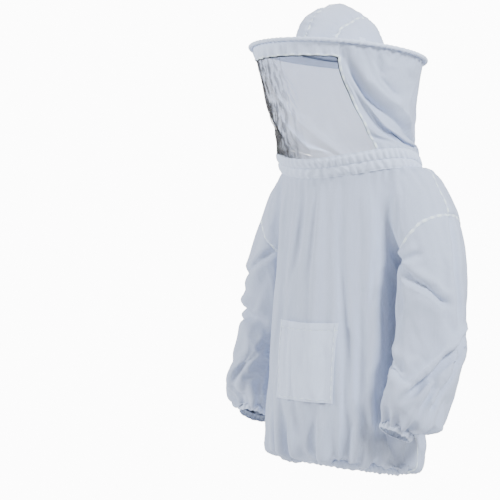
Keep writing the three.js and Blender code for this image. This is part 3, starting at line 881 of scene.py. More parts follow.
def cut_cloth(bm, step):
    """Opens the neck, the hem and the cuffs, and parts the faces at the seams."""
    snap = step * 0.38
    straighten_neck(bm, -1)
    bmesh.ops.bisect_plane(bm, geom=all_of(bm), dist=snap, plane_co=(0, 0, NECK_CUT), plane_no=(0, 0, 1),
                           use_snap_center=True)

    def inside_collar(face):
        middle = face.calc_center_median()
        return middle.z > NECK_CUT and (middle.x / 0.1845) ** 2 + ((middle.y - COLLAR_MIDDLE) / 0.1275) ** 2 < 1.035

    bmesh.ops.delete(bm, geom=[f for f in bm.faces if inside_collar(f)], context="FACES")
    straighten_neck(bm, 1)
    foot = Vector((0, HEM_MIDDLE, HEM_LEVEL + settings()[0].hem_height))
    bmesh.ops.bisect_plane(bm, geom=all_of(bm), dist=snap, plane_co=foot,
                           plane_no=(0, -math.sin(SLOPE), -math.cos(SLOPE)), use_snap_center=True, clear_outer=True)
    for side in (1, -1):
        centre = Vector((side * (CUFF_CENTRE.x + spread(1)), CUFF_CENTRE.y, CUFF_CENTRE.z))
        normal = Vector((side * CUFF_UP.x, CUFF_UP.y, CUFF_UP.z))
        centre += normal * 0.012
        near = [f for f in bm.faces if (f.calc_center_median() - centre).length < 0.075
                and side * f.calc_center_median().x > 0.19]
        bmesh.ops.bisect_plane(bm, geom=around(near), dist=snap, plane_co=centre, plane_no=-normal,
                               use_snap_center=True, clear_outer=True)
    bmesh.ops.bisect_plane(bm, geom=all_of(bm), dist=snap, plane_co=(0, SIDE_SEAM_Y, 0), plane_no=(0, 1, 0),
                           use_snap_center=True)
    arm_edges = set()
    for side in (1, -1):
        centre = Vector((side * ARMHOLE_CENTRE.x, ARMHOLE_CENTRE.y, ARMHOLE_CENTRE.z))
        normal = Vector((side * ARMHOLE_NORMAL.x, ARMHOLE_NORMAL.y, ARMHOLE_NORMAL.z))
        near = [f for f in bm.faces if side * f.calc_center_median().x > 0 and in_arm_zone(f.calc_center_median())]
        bmesh.ops.bisect_plane(bm, geom=around(near), dist=snap, plane_co=centre, plane_no=normal,
                               use_snap_center=True)
        arm_edges |= {e for e in bm.edges if all(
            side * v.co.x > 0 and abs((v.co - centre).dot(normal)) < 1e-5 and in_arm_zone(v.co) for v in e.verts)}
    for face in bm.faces:
        face.material_index = BODY_BACK if face.calc_center_median().y > SIDE_SEAM_Y else BODY_FRONT
    for side, index in ((1, LEFT_SLEEVE), (-1, RIGHT_SLEEVE)):
        target = on_arm(0.6, PI / 2)
        target.x = side * (target.x + spread(0.6))
        seed = min(bm.faces, key=lambda f: (f.calc_center_median() - target).length)
        stack, seen = [seed], {seed}
        while stack:
            face = stack.pop()
            face.material_index = index
            for edge in face.edges:
                if edge not in arm_edges:
                    for other in edge.link_faces:
                        if other not in seen:
                            seen.add(other)
                            stack.append(other)
    sleeves = [f for f in bm.faces if f.material_index > BODY_BACK]
    if len(sleeves) > 0.6 * len(bm.faces):
        raise RuntimeError("a sleeve isn't parted from the body")
    for vert in dict.fromkeys(v for f in sleeves for v in f.verts):
        vert.co.x -= math.copysign(spread(share_down(vert.co.z)), vert.co.x)
    return bm


SLEEVE_CREASES = {
    1: creases(ARM_DEGREE, ARM_LENGTH, (
        (((155, 0.50), (115, 0.54), (73, 0.63), (46, 0.715), (22, 0.81)), 0.024, 0.0085),
        (((125, 0.53), (104, 0.66), (92, 0.80), (84, 0.90)), 0.015, 0.0080),
        (((60, 0.69), (66, 0.78), (60, 0.88)), 0.007, 0.0070),
        (((-45, 0.10), (-4, 0.225), (45, 0.32), (70, 0.36)), 0.0155, 0.0080),
        (((-38, 0.10), (-27, 0.28), (-20, 0.44)), 0.012, 0.0080),
        (((-50, 0.12), (-12, 0.13), (18, 0.09)), 0.007, 0.0070),
        (((112, -0.12), (94, -0.03), (84, 0.18), (96, 0.34), (112, 0.48)), 0.007, 0.0120),
        (((-60, 0.60), (-20, 0.64), (10, 0.70)), 0.008, 0.0090),
    )),
    -1: creases(ARM_DEGREE, ARM_LENGTH, (
        (((150, 0.36), (100, 0.36), (60, 0.39), (20, 0.43), (-20, 0.45)), 0.017, 0.0100),
        (((130, 0.40), (104, 0.50), (80, 0.64)), 0.009, 0.0090),
        (((-40, 0.50), (0, 0.46), (40, 0.50), (90, 0.62)), 0.010, 0.0085),
        (((40, 0.66), (62, 0.76), (80, 0.88)), 0.008, 0.0080),
        (((-45, 0.10), (-4, 0.20), (45, 0.27)), 0.009, 0.0085),
        (((-30, 0.66), (-6, 0.78), (10, 0.88)), 0.007, 0.0080),
    )),
}


def arm_place(point):
    """The turn round the arm, in degrees from -90 to 270, and the share along it, of a left arm's point."""
    share = share_down(point.z)
    centre = arm_frame(min(1.0, max(0.0, share)))[0]
    angle = math.degrees(math.atan2(point.x - centre.x, -(point.y - centre.y)))
    return (angle + 90) % 360 - 90, share


def sleeve_fold(point, side, sharp):
    """How far a sleeve's cloth stands out, before (sharp 0.5) and after (sharp 1) it is draped."""
    turn, share = arm_place(point)
    angle = math.radians(turn)
    gather = settings()[1].gather
    wander = 5 * wavy(share * 5, side, 0, 2)
    depth = 0.0025 * wavy(point.x * 14, point.z * 12, side + point.y * 10, 1)
    cuff = min(1.0, max(0.0, (share - 0.80) / 0.17))
    reach = math.exp(-max(0.0, 0.97 - share) / 0.08)
    depth += gather * 1.05 * reach * (1 - 0.5 * ease(0.93, 0.975, share)) * (
        0.8 * math.sin(9 * angle + 2.5 * rounded(angle, 1, share * 6, side, 4)) + 0.5 * math.sin(15 * angle + side))
    if side < 0:  # the right sleeve lies closer to the arm at the elbow
        depth -= 0.024 * bump(share, 0.42, 0.17) * bump(turn, 70, 70)
    height = (share + 0.012 * rounded(angle, 2, side, 0, 3)) * ARM_LENGTH
    wide = creased((turn + wander) * ARM_DEGREE, height, SLEEVE_CREASES[side])
    return depth * (1 - 0.5 * sharp) + wide * sharp * (1 - 0.6 * cuff)


BODY_CREASES = creases(BODY_DEGREE, 1.0, (
    (((-10, -0.09), (-12, -0.20), (-20, -0.30), (-27, -0.38)), 0.0040, 0.010),
    (((8, -0.07), (6, -0.18), (2, -0.30)), 0.0030, 0.010),
    (((34, -0.07), (32, -0.20), (36, -0.34), (40, -0.48)), 0.0035, 0.012),
    (((52, -0.30), (50, -0.45), (44, -0.58)), 0.0040, 0.014),
    (((66, -0.22), (60, -0.33), (56, -0.45)), 0.0060, 0.012),
    (((-64, -0.26), (-58, -0.40), (-50, -0.52)), 0.0050, 0.012),
    (((130, -0.16), (140, -0.30), (150, -0.44)), 0.0050, 0.014),
    (((-130, -0.16), (-142, -0.32), (-150, -0.46)), 0.0050, 0.014),
    (((178, -0.12), (174, -0.30), (180, -0.50)), 0.0045, 0.014),
    (((105, -0.32), (112, -0.45), (124, -0.56)), 0.0050, 0.012),
    (((-105, -0.30), (-114, -0.44), (-120, -0.56)), 0.0050, 0.012),
))


def body_fold(point, sharp):
    """How far the body's cloth stands out, before (sharp 0.5) and after (sharp 1) it is draped."""
    gather = settings()[1].gather
    above_hem = point.z - hem_height(point.y)
    angle = math.atan2(point.x / 0.17, -(point.y - HEM_MIDDLE) / 0.12)
    depth = 0.002 * wavy(point.x * 10, point.y * 10, point.z * 5, 1)
    fan = math.exp(-max(0.0, above_hem - 0.02) / 0.060) * ease(0.0, 0.03, above_hem + 0.012)
    wander = rounded(angle, 1.3, above_hem * 5, 0, 5)
    gathers = gather * fan * (0.8 * math.sin(16 * angle + 5 * wander) + 0.5 * math.sin(27 * angle - 4 * wander)
                              + 0.5 * rounded(angle, 12, above_hem * 9, 0, 6))
    # Long soft folds hang from the collar.
    hang = ease(-0.64, -0.40, point.z) * (1 - ease(-0.12, -0.05, point.z))
    depth += 0.0042 * hang * math.sin(7 * angle + 1.6 * rounded(angle, 2, point.z * 3, 0, 8))
    depth += 0.0024 * hang * math.sin(14 * angle + 2.2 * rounded(angle, 2, point.z * 3, 0, 9))
    # Puckers lie just under the collar.
    under = bump(point.z, neck_height(angle) - 0.043, 0.026)
    depth += 0.0020 * under * math.sin(40 * angle + 3 * rounded(angle, 5, 0, 0, 10))
    # The cloth folds in between the chest and each shoulder.
    valley = bump(abs(point.x), 0.166, 0.013) * (1 - ease(-0.08, 0.02, point.y))
    depth -= 0.009 * valley * ease(-0.36, -0.24, point.z) * (1 - ease(-0.07, -0.03, point.z))
    lines = creased(math.degrees(angle) * BODY_DEGREE, point.z, BODY_CREASES)
    return depth * (1 - 0.55 * sharp) + gathers * (1 - 0.2 * sharp) + lines * sharp


def fold_cloth(bm, sharp):
    """Moves the smock's cloth out or in along its own direction."""
    bm.normal_update()
    moves = []
    for vert in bm.verts:
        kinds = {f.material_index for f in vert.link_faces}
        sleeves = kinds & {LEFT_SLEEVE, RIGHT_SLEEVE}
        if sleeves and kinds - sleeves:
            depth = -0.001 * sharp
        elif sleeves:
            depth = sleeve_fold(mirrored(vert.co), 1 if vert.co.x > 0 else -1, sharp)
        else:
            depth = body_fold(vert.co, sharp)
        drop = 0.0
        if sharp == 1 and not sleeves:
            above_hem = vert.co.z - hem_height(vert.co.y)
            drop = 0.020 * bump(above_hem, 0.042, 0.020) * (1 + 0.35 * wavy(vert.co.x * 22, vert.co.y * 22, 0, 35))
        elif sharp == 1 and sleeves == kinds:
            share = arm_place(mirrored(vert.co))[1]
            drop = 0.011 * bump(share, 0.935, 0.035) * (1 + 0.4 * wavy(vert.co.x * 40, vert.co.y * 40, 0, 36))
        if vert.is_boundary:
            depth, drop = depth * 0.2, 0.0
        moves.append((vert, vert.normal * depth - Vector((0, 0, drop))))
    for vert, move in moves:
        vert.co += move


def meet_collar(bm):
    """Draws the neck's edge in under the collar, and the cloth near it with it."""
    edge = [v for v in bm.verts if v.is_boundary and v.co.z > -0.12]
    tree = KDTree(len(edge))
    moves = []
    for k, vert in enumerate(edge):
        tree.insert(vert.co, k)
        moves.append(on_collar(neck_angle(vert.co), -0.0012, 0.0380) - vert.co)
    tree.balance()
    shifts = []
    for vert in bm.verts:
        if vert.co.z > -0.16:
            _, k, gap = tree.find(vert.co)
            if gap < DRAWN_IN:
                shifts.append((vert, moves[k] * (1 - gap / DRAWN_IN) ** 2))
    for vert, shift in shifts:
        vert.co += shift


class SMOCK_OT_body(bpy.types.Operator):
    """Drapes the smock's front, back and sleeves and sews them together"""

    bl_idname = "smock.body"
    bl_label = "Body and Sleeves"

    def execute(self, context):
        sizes, folds, _ = settings()
        step = folds.mesh_step
        cloth = joined_form("smock_cloth_form", 0.0, step, 1)
        inner = joined_form("wearer_form", -0.018, 0.012, 0)
        bm = bmesh.new()
        bm.from_mesh(cloth.data)
        cut_cloth(bm, step)
        faced(bm, from_axis)
        fold_cloth(bm, 0.5)
        bmesh.ops.triangulate(bm, faces=[f for f in bm.faces if len(f.verts) > 4])
        bm.to_mesh(cloth.data)
        boundary = {v.index for v in bm.verts if v.is_boundary}
        bm.free()
        while len(cloth.data.materials) < 4:
            cloth.data.materials.append(finish("smock_polycotton"))
        near = set(boundary)
        for edge in cloth.data.edges:
            if boundary & set(edge.vertices):
                near |= set(edge.vertices)
        pinned = weighted(cloth, "held", lambda v: 1.0 if v.index in boundary else 0.6 if v.index in near else 0.0)
        drape(cloth, [inner], pinned, folds.frames, folds.fullness)
        remove(inner)
        finer = cloth.modifiers.new("Finer", "SUBSURF")
        finer.levels = finer.render_levels = 1
        apply_modifiers(cloth)
        bm = bmesh.new()
        bm.from_mesh(cloth.data)
        fold_cloth(bm, 1.0)
        meet_collar(bm)
        smooth(bm, 0.25)
        bm.to_mesh(cloth.data)
        bm.free()
        names = {BODY_FRONT: "front_panel_cloth", BODY_BACK: "back_panel_cloth",
                 LEFT_SLEEVE: "left_sleeve_cloth", RIGHT_SLEEVE: "right_sleeve_cloth"}
        pieces = {}
        for index, name in names.items():
            pieces[index] = thicken(part_of(
                cloth, name, lambda f, i=index: f.material_index == i, finish("smock_polycotton")), sizes.cloth, 0)
        for index, nodes in ((BODY_FRONT, ("front_panel",)), (BODY_BACK, ("back_panel",))):
            settle(pieces[index], "smock_cloth", "smock", nodes)
        for index, side, name in ((LEFT_SLEEVE, 1, "left_sleeve"), (RIGHT_SLEEVE, -1, "right_sleeve")):
            settle(pieces[index], "smock_cloth", None, (name,))
            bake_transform(pieces[index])
        # Felled seams: the armholes and the sides.
        def parts(edge):
            return {f.material_index for f in edge.link_faces}
        seams = (
            ("armhole_seams", sizes.seam, 0.0017,
             lambda e: len(parts(e)) > 1 and len(parts(e) & {LEFT_SLEEVE, RIGHT_SLEEVE}) == 1),
            ("side_seams", sizes.seam * 0.7, 0.0008, lambda e: parts(e) == {BODY_FRONT, BODY_BACK}),
        )
        sewn = []
        for name, width, height, wanted in seams:
            strips = [band([(p + n * 0.0006, n) for p, n in path], closed, width, height)
                      for path, closed in boundary_paths(cloth, wanted)]
            sewn.append(stitched(name, strips))
        remove(cloth)
        declare(pieces[BODY_FRONT], *sewn)
        for index in (BODY_BACK, LEFT_SLEEVE, RIGHT_SLEEVE):
            declare(pieces[index])
        return {"FINISHED"}


# ---- Collar, hem and cuffs


def gathered_ring(name, around_count, up_count, place, material, thickness, centre=from_axis, levels=1):
    piece = new_object(name, faced(ring(around_count, up_count, place, (around_count * 0.003, 1)), centre), material)
    return thicken(piece, thickness, levels)


def painted_light_inside(piece):
    """Gives the inner side of a sheet a lighter colour and painted light, an emission that stands in for the light
    that comes through it.
    """
    piece.data.materials.append(finish("hood_inside_painted_light"))
    piece.modifiers["Wall"].material_offset = 1


class SMOCK_OT_collar(bpy.types.Operator):
    """Makes the collar's gathered elastic casing and the facing under it"""

    bl_idname = "smock.collar"
    bl_label = "Collar"

    def execute(self, context):
        sizes = settings()[0]
        split = sizes.collar_height * sizes.casing_share

        def casing(angle, v):
            down = split * v
            swell = math.sin(PI * v) ** 0.6
            pucker = math.sin(68 * angle + 3 * rounded(angle, 4, v, 0, 21)) + 0.7 * rounded(angle, 22, v * 1.5, 0, 22)
            rim = bump(v, 0.13, 0.07)
            out = 0.0015 + 0.0030 * swell + 0.0016 * pucker * (0.35 + 0.65 * swell) - 0.0020 * rim
            return on_collar(angle, out, down + 0.0008 * rounded(angle, 12, v, 0, 23))

        def facing(angle, v):
            down = split + (sizes.collar_height - split) * v + 0.0012 * v
            swell = math.sin(PI * min(1.0, v * 0.93 + 0.04)) ** 0.7
            pucker = math.sin(52 * angle + 4 * rounded(angle, 4, v, 0, 24)) + 0.8 * rounded(angle, 17, v * 1.5, 0, 25)
            edge = bump(v, 0.9, 0.06)
            out = 0.0008 + 0.0024 * swell + 0.0014 * pucker * (0.4 + 0.6 * swell) - 0.0016 * edge
            return on_collar(angle, out, down + 0.0010 * rounded(angle, 9, v, 0, 26))

        top = gathered_ring("collar_casing_cloth", 420, 12, casing, finish("gathered_polycotton"), 0.0022)
        painted_light_inside(top)
        settle(top, "smock_cloth", "smock", ("collar_casing", "collar_elastic"))
        low = gathered_ring("neck_facing_cloth", 420, 10, facing, finish("gathered_polycotton"), 0.0012)
        settle(low, "smock_cloth", "smock", ("neck_facing",))
        declare(top)
        declare(low)
        return {"FINISHED"}


def hem_ring(angle, v):
    """The hem casing from its upper to its lower edge."""
    height = settings()[0].hem_height
    swell = math.sin(PI * min(1.0, v * 0.96 + 0.02)) ** 0.6
    pucker = math.sin(58 * angle + 5 * rounded(angle, 3, v * 0.5, 0, 31)) + 0.9 * rounded(angle, 15, v, 0, 32)
    out = -0.0035 + 0.0040 * swell + 0.0019 * pucker * (0.3 + 0.7 * swell)
    y = HEM_MIDDLE - (HEM_HALF_DEPTH + out) * math.cos(angle)
    z = hem_height(y) + height * (1 - v) + (0.0028 * rounded(angle, 9, 0, 0, 33) + 0.0010 * pucker) * v
    return Vector(((HEM_HALF_WIDTH + out) * math.sin(angle), y, z))


def cuff_ring(side):
    height = settings()[0].cuff_height

    def place(angle, v):
        swell = math.sin(PI * min(1.0, v * 0.96 + 0.02)) ** 0.6
        pucker = math.sin(19 * angle + 3 * rounded(angle, 2, v * 0.5, side, 41)) + 0.9 * rounded(angle, 6, v, side, 42)
        radius = CUFF_RADIUS - 0.0008 + 0.0030 * swell + 0.0017 * pucker * (0.35 + 0.65 * swell)
        point = CUFF_CENTRE + CUFF_OUT * (radius * math.sin(angle)) - CUFF_BACK * (radius * math.cos(angle))
        point += CUFF_UP * (0.0135 - height * v + (0.0022 * rounded(angle, 4, side, 0, 43) + 0.0008 * pucker) * v)
        return Vector((side * point.x, point.y, point.z))

    return place


class SMOCK_OT_hems(bpy.types.Operator):
    """Makes the gathered elastic casings of the hem and the cuffs"""

    bl_idname = "smock.hems"
    bl_label = "Hem and Cuffs"

    def execute(self, context):
        hem = gathered_ring("hem_casing_cloth", 380, 10, hem_ring, finish("gathered_polycotton"), 0.0018)
        declare(settle(hem, "smock_cloth", "smock", ("hem_casing", "hem_elastic")))
        for side, name in ((1, "left"), (-1, "right")):
            centre = Vector((side * CUFF_CENTRE.x, CUFF_CENTRE.y, CUFF_CENTRE.z))
            cuff = gathered_ring(name + "_cuff_casing_cloth", 120, 9, cuff_ring(side),
                                 finish("gathered_polycotton"), 0.0016, lambda p, c=centre: c)
            declare(settle(cuff, "smock_cloth", name + "_sleeve", (name + "_cuff_casing", name + "_cuff_elastic")))
        return {"FINISHED"}


# ---- The veil: hood and window as one ring of cloth, gathered between the collar and the brim

WINDOW_COLUMNS = 0.30
BAND_ROW = 0.86
BAND_T = 0.885


def veil_place(u, v):
    """The angle and height of a point of the veil's grid, whose columns follow the window's edges."""
    t = v / BAND_ROW * BAND_T if v < BAND_ROW else lerp(BAND_T, 1.0, (v - BAND_ROW) / (1 - BAND_ROW))
    s = (u - 0.5) * 2
    edge = window_edge(t)
    if abs(s) <= WINDOW_COLUMNS:
        return s / WINDOW_COLUMNS * edge, t
    angle = edge + (abs(s) - WINDOW_COLUMNS) / (1 - WINDOW_COLUMNS) * (PI - edge)
    return math.copysign(angle, s), t


HOOD_CREASES = creases(HOOD_DEGREE, HOOD_HEIGHT, (
    (((50, 0.88), (62, 0.62), (85, 0.43), (115, 0.27), (150, 0.08), (172, 0.0)), 0.025, 0.009),
    (((128, 0.90), (140, 0.60), (165, 0.25), (176, 0.05)), 0.010, 0.012),
    (((110, 0.40), (140, 0.24), (168, 0.08)), 0.007, 0.007),
    (((68, 0.97), (80, 0.72), (100, 0.52)), 0.006, 0.010),
    (((96, 0.98), (108, 0.76), (128, 0.52)), 0.006, 0.010),
    (((84, 0.30), (100, 0.16), (112, 0.02)), 0.005, 0.008),
))


def hood_fold(angle, t, side):
    degrees = math.degrees(abs(angle)) + 4 * wavy(t * 4, side, 0, 52)
    depth = 0.0040 * rounded(angle, 2.2, t * 2.5, 0, 51) * math.sin(PI * t) ** 0.5
    height = (t + 0.02 * rounded(angle, 3, side, 0, 55)) * HOOD_HEIGHT
    from_seam = 180 - math.degrees(abs(angle))
    depth += ease(0, 16, from_seam) * creased(degrees * HOOD_DEGREE, height, HOOD_CREASES)
    # Gathers under the brim and above the collar
    depth += 0.0048 * math.exp(-(1 - t) / 0.09) * math.sin(34 * angle + 3 * rounded(angle, 3, t, 0, 53))
    depth += 0.0024 * math.exp(-t / 0.09) * math.sin(40 * angle + 4 * rounded(angle, 3, t, 0, 54))
    return depth


def net_fold(angle, t):
    depth = 0.0025 * rounded(angle, 5, t * 3, 0, 61) * math.sin(PI * min(1, t / 0.9)) ** 0.5
    side = 1 - ease(math.radians(-34), math.radians(-8), angle)
    depth += 0.0055 * side * math.sin(angle * 17 + 3.2 * rounded(angle, 3, t * 2.4, 0, 62)) * (1 - 0.5 * t)
    depth += 0.0030 * side * rounded(angle, 12, t * 7, 0, 63)
    depth += 0.0022 * math.exp(-t / 0.10) * math.sin(angle * 38 + 3 * rounded(angle, 4, t, 0, 64))
    return depth


def twisting(piece):
    """Bakes a piece of the veil's placement into its mesh."""
    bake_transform(piece)
    return piece


class SMOCK_OT_veil(bpy.types.Operator):
    """Makes the hood, the net window with its bindings and the cloth band above it"""

    bl_idname = "smock.veil"
    bl_label = "Hood and Window"

    def execute(self, context):
        sizes, folds, _ = settings()

        def place(u, v):
            angle, t = veil_place(u, v)
            edge = window_edge(t)
            side = 1 if angle > 0 else -1
            share = ease(edge - 0.03, edge + 0.03, abs(angle))
            depth = lerp(net_fold(angle, t), hood_fold(angle, t, side), share)
            if t > BAND_T - 0.02 and abs(angle) < edge + 0.05:
                depth += 0.0048 * math.sin(angle * 36 + 2 * rounded(angle, 4, t, 0, 65)) * ease(1.0, 0.86, t)
            return on_veil(angle, t, depth * math.sin(PI * min(1.0, 0.04 + t * 0.96)) ** 0.25)

        cloth = new_object("veil_form", faced(merged(shaped(300, 50, place)), from_axis))
        layer = cloth.data.uv_layers[0]
        tops = {}
        for loop, data in zip(cloth.data.loops, layer.data):
            tops[loop.vertex_index] = data.uv.y
        pinned = weighted(cloth, "held", lambda vert: 0 if 0.021 <= tops[vert.index] <= 0.979 else 1.0)
        drape(cloth, [], pinned, 14, 0.012, stiffness=10, bending=0.3, gravity=0.6)

        bm = bmesh.new()
        bm.from_mesh(cloth.data)
        uv = bm.loops.layers.uv.verify()
        for face in bm.faces:
            middle = sum((loop[uv].uv for loop in face.loops), Vector((0, 0))) / len(face.loops)
            s = (middle.x - 0.5) * 2
            if abs(s) < WINDOW_COLUMNS:
                face.material_index = 1 if middle.y > BAND_ROW else 0
            else:
                face.material_index = 2 if s > 0 else 3
        bm.to_mesh(cloth.data)
        bm.free()
        while len(cloth.data.materials) < 4:
            cloth.data.materials.append(finish("hat_polycotton"))
        specs = (
            (0, "mesh_window_net", "window_net", "black_net", 0.0004, "mesh_window"),
            (1, "window_top_band_cloth", "gathered_polycotton", "smock_cloth", sizes.cloth, "window_top_band"),
            (2, "left_hood_cloth", "smock_polycotton", "smock_cloth", sizes.cloth, "left_hood_panel"),
            (3, "right_hood_cloth", "smock_polycotton", "smock_cloth", sizes.cloth, "right_hood_panel"),
        )
        sheets, sewn = {}, {}
        for index, name, material, slot, thickness, node in specs:
            piece = part_of(cloth, name, lambda f, i=index: f.material_index == i, finish(material))
            if index == 0:
                uvs = piece.data.uv_layers[0].data
                for item in uvs:
                    item.uv = (item.uv.x * 1.05, item.uv.y * 0.27)
            thicken(piece, thickness, 1)
            if index:
                painted_light_inside(piece)
            sheets[index] = twisting(settle(piece, slot, None, (node,)))

        def meets(*wanted):
            return lambda e: {f.material_index for f in e.link_faces} == set(wanted)

        for name, index in (("left_window_binding", 2), ("right_window_binding", 3)):
            strips = [band(path, closed, 0.0055, 0.0013, 4)
                      for path, closed in boundary_paths(cloth, meets(0, index))]
            sewn[index] = [twisting(stitched(name + "_cloth", strips, body=None, nodes=(name,)))]
        strips = [band(path, closed, 0.0040, 0.0012, 2) for path, closed in boundary_paths(cloth, meets(0, 1))]
        sewn[1] = [twisting(stitched("window_band_fold", strips, body=None))]
        strips = []
        for path, closed in boundary_paths(cloth, lambda e: meets(0, 2)(e) or meets(0, 3)(e) or meets(0, 1)(e)):
            centre = sum((p for p, _ in path), Vector()) / len(path)
            inset = [(p + (centre - p).normalized() * 0.0042 + n * 0.0002, n) for p, n in path]
            strips.append(band(inset, closed, 0.0032, 0.0006, 3))
        sewn[0] = [twisting(stitched("net_edge_tape", strips, "black_net", None, material="net_edge"))]
        strips = [band(path, closed, 0.006, 0.0008, 3) for path, closed in boundary_paths(cloth, meets(2, 3))
                  if sum((p for p, _ in path), Vector()).y / len(path) > 0]
        sewn[2].append(twisting(stitched("hood_back_seam", strips, body=None)))
        remove(cloth)
        for index, piece in sheets.items():
            declare(piece, *sewn[index])
        return {"FINISHED"}


# ---- The hat

CROWN_SEAM_X = 0.064


def on_crown(angle, v, inset=0.0):
    """A point of the crown in the hat's own frame: v runs from its foot to its top."""
    rise = v * PI / 2
    height = CROWN_TOP - inset
    return Vector((
        (CROWN_WIDTH - inset) * math.sin(angle) * math.cos(rise),
        -(CROWN_LENGTH - inset) * math.cos(angle) * math.cos(rise),
        0.0016 + (height - 0.0016) * math.sin(rise)))


def crown_dent(point):
    seam_gap = min(abs(abs(point.x) - CROWN_SEAM_X), abs(point.x))
    along = math.atan2(point.z, point.y)
    pucker = 0.0019 * bump(seam_gap, 0, 0.016) * math.sin(along * 44 + 6 * wavy(along * 5, point.x * 20, 0, 71))
    soft = 0.0085 * wavy(point.x * 16, point.y * 16, point.z * 16, 72) + 0.002 * wavy(
        point.x * 45, point.y * 45, point.z * 30, 73)
    groove = -0.0022 * bump(seam_gap, 0, 0.005)
    foot = 0.0018 * math.exp(-point.z / 0.012) * math.sin(math.atan2(point.x, point.y) * 36)
    return (pucker + soft + foot) * ease(0.0, 0.01, point.z + 0.002) + groove


class SMOCK_OT_hat(bpy.types.Operator):
    """Makes the hat's four-panel crown, its brim, the binding round the hoop and the sweatband"""

    bl_idname = "smock.hat"
    bl_label = "Hat"

    def execute(self, context):
        sizes = settings()[0]

        bm = ring(120, 44, on_crown)
        for x in (-CROWN_SEAM_X, 0.0, CROWN_SEAM_X):
            bmesh.ops.bisect_plane(bm, geom=all_of(bm), dist=0.0012, plane_co=(x, 0, 0), plane_no=(1, 0, 0),
                                   use_snap_center=True)
        bmesh.ops.remove_doubles(bm, verts=bm.verts, dist=1e-5)
        faced(bm, lambda p: Vector())
        bm.normal_update()
        moves = [(v, v.normal * crown_dent(v.co)) for v in bm.verts]
        for vert, move in moves:
            vert.co += move
        for face in bm.faces:
            x = face.calc_center_median().x
            face.material_index = 0 if x > CROWN_SEAM_X else 1 if x > 0 else 2 if x > -CROWN_SEAM_X else 3
        bmesh.ops.transform(bm, matrix=HAT, verts=bm.verts)
        cloth = new_object("crown_form", bm)
        while len(cloth.data.materials) < 4:
            cloth.data.materials.append(finish("hat_polycotton"))
        panels = []
        for index, node in enumerate((
                "crown_left_side_panel", "crown_left_top_panel", "crown_right_top_panel", "crown_right_side_panel")):
            piece = part_of(
                cloth, node + "_cloth", lambda f, i=index: f.material_index == i, finish("hat_polycotton"))
            panels.append(settle(thicken(piece, sizes.cloth, 0), "hat_cloth", "hat", (node,)))
        strips = [band(path, closed, 0.0055, 0.0009, 3) for path, closed in boundary_paths(
            cloth, lambda e: len({f.material_index for f in e.link_faces}) > 1)]
        seams = stitched("crown_seams", strips, "hat_cloth", "hat")
        remove(cloth)
        declare(panels[0], seams)
        for piece in panels[1:]:
            declare(piece)

        hoop = BRIM_RADIUS - 0.0042

        def brim(level, sag):
            def at(angle, v):
                inner = 1 / math.hypot(
                    math.sin(angle) / (CROWN_WIDTH - 0.001), math.cos(angle) / (CROWN_LENGTH - 0.001))
                radius = lerp(inner, hoop, v)
                ripple = math.sin(PI * v) * (0.0010 * rounded(angle, 3, v * 2, 0, 81) + sag) + 0.0009 * bump(
                    v, 0.93, 0.06) * math.sin(60 * angle + 3 * rounded(angle, 5, 0, 0, 82))
                return HAT @ Vector((radius * math.sin(angle), -radius * math.cos(angle), level + ripple))
            return at

        top = gathered_ring("brim_top", 300, 14, brim(0.0021, 0.0005), finish("hat_polycotton"), sizes.cloth,
                            lambda p: p - HAT_AXIS, 0)
        settle(top, "hat_cloth", "hat", ("brim_top_cloth",))
        under = gathered_ring("brim_under", 300, 14, brim(-0.0018, -0.0008), finish("hat_polycotton"), sizes.cloth,
                              lambda p: p + HAT_AXIS, 0)
        declare(settle(under, "hat_cloth", "hat", ("brim_under_cloth",)))

        def binding(angle, v):
            turn = v * 2 * PI
            pucker = 0.0006 * math.sin(82 * angle + 3 * rounded(angle, 6, 0, 0, 83))
            pucker += 0.0004 * rounded(angle, 40, math.sin(turn), 0, 84)
            radius = sizes.piping + pucker * (1.2 - 0.4 * math.sin(turn))
            flat = hoop + radius * math.cos(turn)
            return HAT @ Vector((flat * math.sin(angle), -flat * math.cos(angle), radius * math.sin(turn)))

        bm = ring(520, 14, binding, (1.25, 1))
        piece = new_object("brim_binding", bm, finish("gathered_polycotton"))
        declare(top, settle(piece, "hat_cloth", "hat", ("brim_piping",)))

        def inside(angle, v):
            point = on_crown(angle, 0.17 * v + 0.012, 0.0035)
            return HAT @ point

        bm = faced(ring(140, 8, inside), lambda p: HAT_CENTRE + HAT_AXIS * 0.01)
        declare(settle(thicken(new_object("sweatband_cloth_ring", bm, finish("sweatband_cotton")), 0.0012, 0),
                       "sweatband_cloth", "hat", ("sweatband",)))
        steel = finish("spring_steel")
        for name in ("brim_hoop", "hoop_ferrule"):
            for slot in frame["nodes"][name].material_slots:
                slot.material = steel
        return {"FINISHED"}


# ---- The pocket

POCKET_SHIFT = Vector((0.010, 0, 0.021))
POCKET_TRIM = Vector((0.011, 0, 0))  # off the side towards the wearer's right
POCKET_CLEARANCE = 0.0012  # over the front's folds


